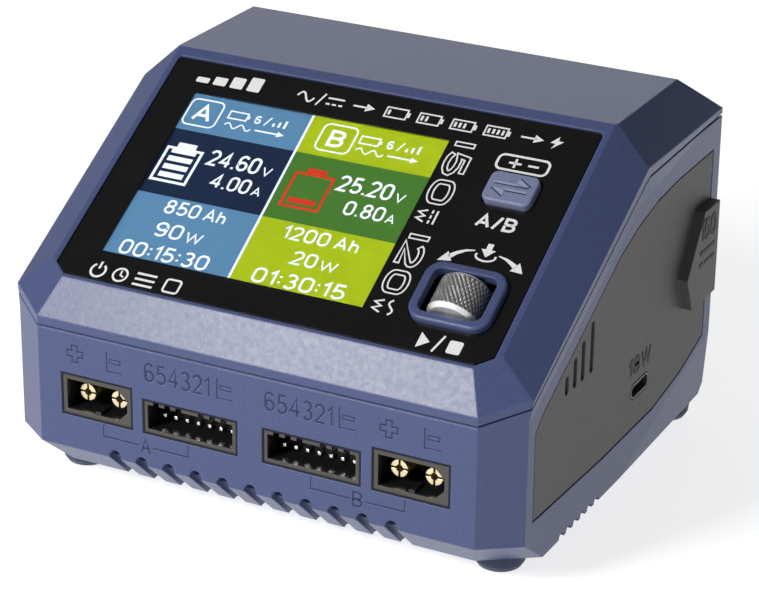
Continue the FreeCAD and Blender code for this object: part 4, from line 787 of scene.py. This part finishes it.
def rating_column(ink):
    """Outlined digits that run down the overlay beside the screen."""
    ink.outlined_text("|50", (18.9, 23.9, 34.1, 49.6), RATING_STROKE, RATING_LINE, True)
    ink.text("W", (18.9, 21.0, 29.3, 32.6), 0.4, True)
    ink.line([(22.9, 29.3), (22.9, 32.6)], 0.4)
    for index in range(3):
        start = 29.3 + index * 1.25
        ink.line([(21.9, start), (21.9, start + 0.8)], 0.4)
    ink.outlined_text("|20", (19.3, 24.3, 12.2, 26.3), RATING_STROKE, RATING_LINE, True)
    ink.text("W", (19.5, 21.6, 7.4, 10.7), 0.4, True)
    wave = [(v, u) for u, v in sine(7.4, 23.2, 3.4, 0.6)]
    ink.line(wave, 0.4)


def control_symbols(ink):
    """Signs round the button and the thumb roller."""
    left = 29.2
    ink.line(rounded_rectangle(left, left + 10.6, 45.2, 48.8, 1.2), 0.5, True)
    middle = 47.0
    ink.line([(left + 2.4, middle), (left + 5.0, middle)], 0.5)
    ink.line([(left + 3.7, middle - 1.1), (left + 3.7, middle + 1.1)], 0.5)
    ink.line([(left + 6.4, middle), (left + 8.6, middle)], 0.5)
    ink.text("A/B", (30.9, 39.1, 30.9, 34.2), 0.6)
    curved_arrow(ink, [(33.6, 25.5), (31.9, 25.1), (30.4, 24.2), (29.2, 23.0)], (27.6, 21.9))
    curved_arrow(ink, [(38.6, 25.3), (40.2, 24.9), (41.6, 24.2), (42.7, 23.5)], (44.2, 22.6))
    ink.line([(36.1, 27.6), (36.1, 26.2)], 1.2)
    ink.fill([(34.6, 26.2), (37.6, 26.2), (36.1, 24.4)])
    ink.line(arc(36.1, 24.6, 2.0, 160, 380, 18, 0.55), 0.42)
    ink.fill([(31.4, 1.9), (33.7, 3.6), (31.4, 5.4)])
    ink.line([(34.8, 1.7), (36.1, 5.6)], 0.46)
    ink.fill(rounded_rectangle(37.4, 40.2, 2.1, 5.0, 0.4, 3))


TAIL_HALF = 0.12
TAIL_GROWTH = 0.14  # how much half the arrow's line widens from one point to the next
HEAD_HALF = 1.25


def curved_arrow(ink, path, tip):
    """A swept line that widens towards its head."""
    left = []
    right = []
    for step in range(len(path)):
        half = TAIL_HALF + TAIL_GROWTH * step
        left.append(offset_path(path, half, False)[step])
        right.append(offset_path(path, -half, False)[step])
    ink.fill(left + right[::-1])
    end = Vector(path[-1])
    point = Vector(tip)
    along = (point - end).normalized()
    across = Vector((-along.y, along.x)) * HEAD_HALF
    base = end - along * 0.2
    ink.fill([tuple(base + across), tuple(point + along * 0.4), tuple(base - across)])


def make_printing():
    """White printing on the overlay, and a black border round the screen that is painted shade along the
    screen's edge.
    """
    white_ink = printed_ink("white_ink", (0.78, 0.79, 0.8))
    ink = Marks("overlay_print", PANEL, OVERLAY_TOP + 0.012, PRINT_THICKNESS, white_ink, "overlay_black")
    top_row(ink)
    corner_symbols(ink)
    rating_column(ink)
    control_symbols(ink)
    ink.finish()
    # the border is painted shade: a black strip where the screen's edge lies in shadow
    border_shade = film("border_painted_shade", (0.002, 0.002, 0.002))
    border = Marks("screen_border_painted_shade", PANEL, OVERLAY_TOP + 0.01, PRINT_THICKNESS, border_shade, "overlay_black")
    border.line(rectangle(SCREEN[0] - 0.1, SCREEN[1] + 0.1, SCREEN[2] - 0.1, SCREEN[3] + 0.1), 0.5, True)
    border.finish()


# ---------------------------------------------------------------- relief on the case


RELIEF_PLUSES = (-38.85, 29.5)
RELIEF_DIGITS = (-23.1, 3.3)
RELIEF_FIELDS = (-31.75, -7.2, 19.05, 36.65)
RELIEF_BRACKETS = ((-32.7, -13.6, "A"), (13.2, 33.0, "B"))
RELIEF_WEIGHT = 0.3
# how far the painted highlight copy of the signs sits down and to the right of the painted shade strokes
HIGHLIGHT_SHIFT = 0.14


def plus_outline(x, z, arm, half):
    """The outline of a plus sign from its arms' length and half width."""
    return [
        (x - half, z - arm), (x + half, z - arm), (x + half, z - half), (x + arm, z - half),
        (x + arm, z + half), (x + half, z + half), (x + half, z + arm), (x - half, z + arm),
        (x - half, z + half), (x - arm, z + half), (x - arm, z - half), (x - half, z - half),
    ]


def draw_front_signs(relief, shift):
    """Polarity signs, cell numbers and channel brackets; shift moves them down to the right."""
    weight = RELIEF_WEIGHT
    for x in RELIEF_PLUSES:
        relief.line(plus_outline(x + shift, 30.5 - shift, 1.75, 0.62), weight, True)
    for left in RELIEF_FIELDS:
        start = left + shift
        relief.line([(start + 0.2, 28.4 - shift), (start + 0.2, 32.5 - shift)], weight)
        relief.line([(start + 0.2, 28.5 - shift), (start + 3.5, 28.5 - shift)], weight * 0.6)
        relief.line(rectangle(start + 0.9, start + 3.2, 30.3 - shift, 31.1 - shift), weight * 0.7, True)
    for left in RELIEF_DIGITS:
        box = (left + shift, left + 14.5 + shift, 28.3 - shift, 32.3 - shift)
        relief.text("654321", box, weight * 1.3)
    for left, right, letter in RELIEF_BRACKETS:
        middle = (left + right) / 2 + shift
        foot = 14.3 - shift
        relief.line([(left + shift, foot + 2.4), (left + shift, foot), (middle - 1.7, foot)], weight * 0.8)
        relief.line([(middle + 1.7, foot), (right + shift, foot), (right + shift, foot + 2.4)], weight * 0.8)
        relief.text(letter, (middle - 1.1, middle + 1.1, 12.8 - shift, 16.0 - shift), weight * 1.2)


def make_front_relief():
    """Moulded signs, sunken in the case: each stroke a dark navy of painted shade, with a painted highlight
    below and to the right of it.
    """
    # painted highlight: a lighter copy of the navy
    painted_highlight = moulded("relief_painted_highlight", shade(NAVY, 2.1), 0.5, 0.006, 0.15, 0.0)
    highlight_marks = Marks("front_relief_painted_highlights", FRONT, 0.015, 0.03, painted_highlight, "navy_shell")
    draw_front_signs(highlight_marks, HIGHLIGHT_SHIFT)
    highlight_marks.finish()
    # painted shade: a darker copy of the navy
    tone = moulded("relief_painted_shade", shade(NAVY, 0.42), 0.5, 0.006, 0.15, 0.0)
    relief = Marks("front_relief", FRONT, 0.03, 0.06, tone, "navy_shell")
    draw_front_signs(relief, 0.0)
    relief.finish()


# Each front socket's mouth: the middle's x and z, then half its width and half its height.
SOCKET_MOUTHS = [
    (-34.1, 21.65, 7.8, 4.15),
    (34.1, 21.65, 7.8, 4.15),
    (-13.2, 20.85, 10.2, 3.35),
    (13.2, 20.85, 10.2, 3.35),
]
# where the ring of painted shade round each socket runs, and how wide it is
GAP_MIDDLE = 0.15
GAP_WIDTH = 0.42


def make_socket_gap_shade():
    """A dark ring of painted shade round each front socket, where the gap to the edge of its window lies in
    shadow.
    """
    shadow = moulded("gap_shadow", shade(NAVY, 0.12), 0.7, 0.004, 0.1, 0.0)
    gap_shade = Marks("socket_gap_shade", FRONT, 0.0, 0.03, shadow, "navy_shell")
    for x, z, half_x, half_z in SOCKET_MOUTHS:
        reach_x = half_x + GAP_MIDDLE
        reach_z = half_z + GAP_MIDDLE
        gap_shade.line(rectangle(x - reach_x, x + reach_x, z - reach_z, z + reach_z), GAP_WIDTH, True)
    gap_shade.finish()


BADGE_LINE = 0.8
BADGE_STROKE = 0.95
BADGE_RELIEF = 0.12


def make_badges():
    """Supply signs on the raised side badges, and the rating beside the USB port."""
    tone = moulded("badge_relief", (0.008, 0.008, 0.009), 0.5, 0.006, 0.15, 0.0)
    right = Marks("badge_sign_right", RIGHT_BADGE, 0.04, BADGE_RELIEF, tone, "side_cover")
    right.line([(34.6, 40.6), (42.4, 40.6)], BADGE_LINE)
    for index in range(3):
        start = 34.6 + index * 2.9
        right.line([(start, 38.0), (start + 2.0, 38.0)], BADGE_LINE)
    right.text("150", (34.4, 42.8, 42.8, 47.6), BADGE_STROKE)
    right.finish()
    left = Marks("badge_sign_left", LEFT_BADGE, 0.04, BADGE_RELIEF, tone, "side_cover")
    left.line(sine(-42.4, 39.3, 7.8, 1.9, 1, 28), BADGE_LINE)
    left.text("120", (-42.8, -34.4, 42.8, 47.6), BADGE_STROKE)
    left.finish()
    port = Marks("usb_sign", RIGHT_SIDE, 0.0, 0.06, tone, "side_cover")
    port.text("18W", (4.4, 16.0, 24.4, 28.2), 0.75)
    port.finish()


# ---------------------------------------------------------------- roller and button


ROLLER_PLACE = (35.1, 13.8, -1.5)
ROLLER_RADIUS = 5.2
ROLLER_HALF = 4.1
ROLLER_BORE = 0.86
ROLLER_CHAMFER = 0.7
FACE_RADIUS = 3.4  # edge of the shallow recess in the upper end
FACE_RECESS = 0.5
KNURL_COUNT = 34
KNURL_DEPTH = 0.28
KNURL_TWIST = math.radians(34)
KNURL_SEGMENTS = 6  # points round each ridge
KNURL_ROWS = 22
KNURL_FADE = 1.5  # rows over which the ridges rise at each end
KNURL_FLANK = 1.7  # above 1, it leaves each ridge a flat top


def roller_profile():
    """Radius, place along the axle and ridge height of each ring of points, from end to end."""
    band_radius = ROLLER_RADIUS - 0.14
    rim_radius = ROLLER_RADIUS - ROLLER_CHAMFER
    band_half = ROLLER_HALF - ROLLER_CHAMFER
    profile = [
        (ROLLER_BORE, -ROLLER_HALF, 0.0),
        (FACE_RADIUS, -ROLLER_HALF, 0.0),
        (rim_radius, -ROLLER_HALF, 0.0),
        (band_radius, -band_half - 0.1, 0.0),
    ]
    for row in range(KNURL_ROWS + 1):
        ridge = min(1.0, row / KNURL_FADE, (KNURL_ROWS - row) / KNURL_FADE)
        profile.append((ROLLER_RADIUS, -band_half + 2 * band_half * row / KNURL_ROWS, ridge))
    profile += [
        (band_radius, band_half + 0.1, 0.0),
        (rim_radius, ROLLER_HALF, 0.0),
        (FACE_RADIUS, ROLLER_HALF, 0.0),
        (FACE_RADIUS - 0.1, ROLLER_HALF - FACE_RECESS, 0.0),
        (ROLLER_BORE, ROLLER_HALF - FACE_RECESS, 0.0),
    ]
    return profile


def knurl_share(angle, along):
    """Where a point lies on the slanting ridges: 0 in the middle of one, 1 in the middle of a groove."""
    twist = KNURL_TWIST * along / ROLLER_HALF
    phase = KNURL_COUNT * (angle + twist) / (2 * math.pi)
    return abs(2 * (phase % 1.0) - 1)


def make_roller():
    """Metal thumb roller with slanting knurled ridges and plain chamfered ends; the groove faces take a
    darker copy of the metal as painted shade.
    """
    shape = bmesh.new()
    around = KNURL_COUNT * KNURL_SEGMENTS
    profile = roller_profile()
    rings = []
    for radius, along, ridge in profile:
        row = []
        for index in range(around):
            angle = 2 * math.pi * index / around
            flank = min(1.0, (1 - knurl_share(angle, along)) * KNURL_FLANK)
            reach = radius - KNURL_DEPTH * ridge * (1 - flank)
            row.append(shape.verts.new((reach * math.cos(angle), along, -reach * math.sin(angle))))
        rings.append(row)
    for first, second, (_, along, ridge) in zip(rings, rings[1:], profile):
        for index in range(around):
            after = (index + 1) % around
            face = shape.faces.new((first[index], first[after], second[after], second[index]))
            if ridge == 0:
                face.material_index = 2
            # faces in the grooves get the darker metal: painted shade
            elif knurl_share(2 * math.pi * (index + 0.5) / around, along) > 0.5:
                face.material_index = 1
    for index in range(around):
        after = (index + 1) % around
        shape.faces.new((rings[-1][index], rings[-1][after], rings[0][after], rings[0][index]))
    bmesh.ops.recalc_face_normals(shape, faces=shape.faces)
    mesh = bpy.data.meshes.new("knurled_roller")
    shape.to_mesh(mesh)
    shape.free()
    mesh.transform(Matrix.Translation(ROLLER_PLACE))
    mesh.transform(Matrix.Scale(MM, 4))
    mesh.materials.append(MATERIALS["roller_metal"])
    # a darker copy of the roller metal for the grooves: painted shade
    mesh.materials.append(metal("roller_groove_painted_shade", (0.22, 0.22, 0.22), 0.4, (6, 1, 1)))
    mesh.materials.append(metal("roller_end", (0.95, 0.95, 0.94), 0.5, (6, 1, 1)))
    piece = bpy.data.objects.new("knurled_roller", mesh)
    bpy.context.scene.collection.objects.link(piece)
    piece.matrix_world = PANEL
    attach(piece, "roller")
    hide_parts("thumb_roller")


def make_button_sign():
    """Two opposed arrows moulded on the port button, each with half a head; the arrows are a lighter navy
    than the cap as a painted highlight, with a painted shadow along one edge.
    """
    # painted highlight: the raised arrows in a lighter navy than the cap
    lit = moulded("button_relief_painted_highlight", (0.26, 0.29, 0.42), 0.45, 0.004, 0.1, 0.0)
    sign = Marks("button_sign", PANEL, 1.33, 0.08, lit, "navy_shell", "port_button")
    sign.line([(31.4, 41.0), (36.6, 41.0)], 0.5)
    sign.fill([(36.0, 41.0), (38.7, 41.0), (36.0, 42.6)])
    sign.line([(33.4, 39.6), (38.7, 39.6)], 0.5)
    sign.fill([(34.1, 39.6), (31.4, 39.6), (34.1, 38.0)])
    sign.finish()
    # painted shadow along one edge of each arrow
    dark = moulded("button_shade", shade(NAVY, 0.35), 0.45, 0.004, 0.1, 0.0)
    shadow = Marks("button_sign_shade", PANEL, 1.31, 0.06, dark, "navy_shell", "port_button")
    shadow.line([(31.5, 40.65), (38.6, 40.65)], 0.26)
    shadow.line([(33.4, 39.25), (38.6, 39.25)], 0.26)
    shadow.line([(36.2, 42.6), (38.9, 41.0)], 0.24)
    shadow.line([(31.4, 39.4), (34.1, 37.8)], 0.24)
    shadow.finish()
    cap = moulded("button_navy", (0.17, 0.19, 0.31), 0.4, 0.01, 0.4)
    dress("port_button", cap)


# ---------------------------------------------------------------- studio


CAMERA_PLACE = (235.63, -453.93, 253.35)
CAMERA_YAW = math.radians(26.66)
CAMERA_PITCH = math.radians(-23.32)
CAMERA_ROLL = math.radians(0.95)
CAMERA_LENS = 131.13
CAMERA_SHIFT = (-0.0321, -0.0065)


def make_camera():
    """A long lens from the front right and above, rolled a little."""
    forward = Vector(
        (
            -math.sin(CAMERA_YAW) * math.cos(CAMERA_PITCH),
            math.cos(CAMERA_YAW) * math.cos(CAMERA_PITCH),
            math.sin(CAMERA_PITCH),
        )
    )
    level = Vector((math.cos(CAMERA_YAW), math.sin(CAMERA_YAW), 0))
    upright = level.cross(forward)
    right = level * math.cos(CAMERA_ROLL) + upright * math.sin(CAMERA_ROLL)
    up = upright * math.cos(CAMERA_ROLL) - level * math.sin(CAMERA_ROLL)
    data = bpy.data.cameras.new("camera")
    data.sensor_fit = "HORIZONTAL"
    data.sensor_width = 36.0
    data.lens = CAMERA_LENS
    data.shift_x = CAMERA_SHIFT[0]
    data.shift_y = CAMERA_SHIFT[1]
    data.clip_start = 0.01
    data.clip_end = 20.0
    camera = bpy.data.objects.new("camera", data)
    bpy.context.scene.collection.objects.link(camera)
    matrix = Matrix((right, up, -forward)).transposed().to_4x4()
    matrix.translation = Vector(CAMERA_PLACE) * MM
    camera.matrix_world = matrix
    bpy.context.scene.camera = camera


LIT_POINT = (0, 0, 0.04)
FLOOR_REACH = 4.0


def area_light(name, place, size, power, colour):
    """A soft box aimed at the middle of the object."""
    data = bpy.data.lights.new(name, "AREA")
    data.shape = "RECTANGLE"
    data.size = size[0]
    data.size_y = size[1]
    data.energy = power
    data.color = colour
    lamp = bpy.data.objects.new(name, data)
    bpy.context.scene.collection.objects.link(lamp)
    lamp.location = place
    lamp.rotation_euler = (Vector(LIT_POINT) - Vector(place)).to_track_quat("-Z", "Y").to_euler()


def make_floor():
    """A plain pale floor that glows a little, so that it stays white under soft light."""
    reach = FLOOR_REACH
    corners = [(-reach, -reach, 0), (reach, -reach, 0), (reach, reach, 0), (-reach, reach, 0)]
    mesh = bpy.data.meshes.new("floor")
    mesh.from_pydata(corners, [], [(0, 1, 2, 3)])
    surface = Surface("studio_floor", (0.45, 0.45, 0.45), 0.8)
    surface.set("Specular IOR Level", 0.1)
    surface.set("Emission Color", (1.0, 1.0, 1.0, 1.0))
    surface.set("Emission Strength", 0.78)
    surface.mottle(surface.noise(3, 2), 0.99, 1.01)
    surface.rough(surface.noise(40, 2), 0.75, 0.85)
    mesh.materials.append(surface.material)
    floor = bpy.data.objects.new("floor", mesh)
    bpy.context.scene.collection.objects.link(floor)


def make_studio():
    """A faint even sky, a key light from the front left and a weak one from behind."""
    world = bpy.data.worlds.new("studio")
    bpy.context.scene.world = world
    world.use_nodes = True
    background = world.node_tree.nodes["Background"]
    background.inputs["Color"].default_value = (0.97, 0.98, 1.0, 1)
    background.inputs["Strength"].default_value = 0.15
    area_light("key", (-0.46, -0.90, 0.66), (0.3, 0.3), 13.5, (1.0, 0.99, 0.98))
    area_light("back", (-0.55, 1.15, 0.6), (1.0, 0.6), 2.2, (1, 1, 1))
    make_floor()
    bpy.context.scene.view_settings.view_transform = "Standard"


make_camera()
dress_cad_nodes()
make_screen()
make_printing()
make_front_relief()
make_socket_gap_shade()
make_badges()
dress("usb_c_shell", metal("usb_shell_dark", (0.2, 0.2, 0.2), 0.45))
make_roller()
make_button_sign()
make_studio()
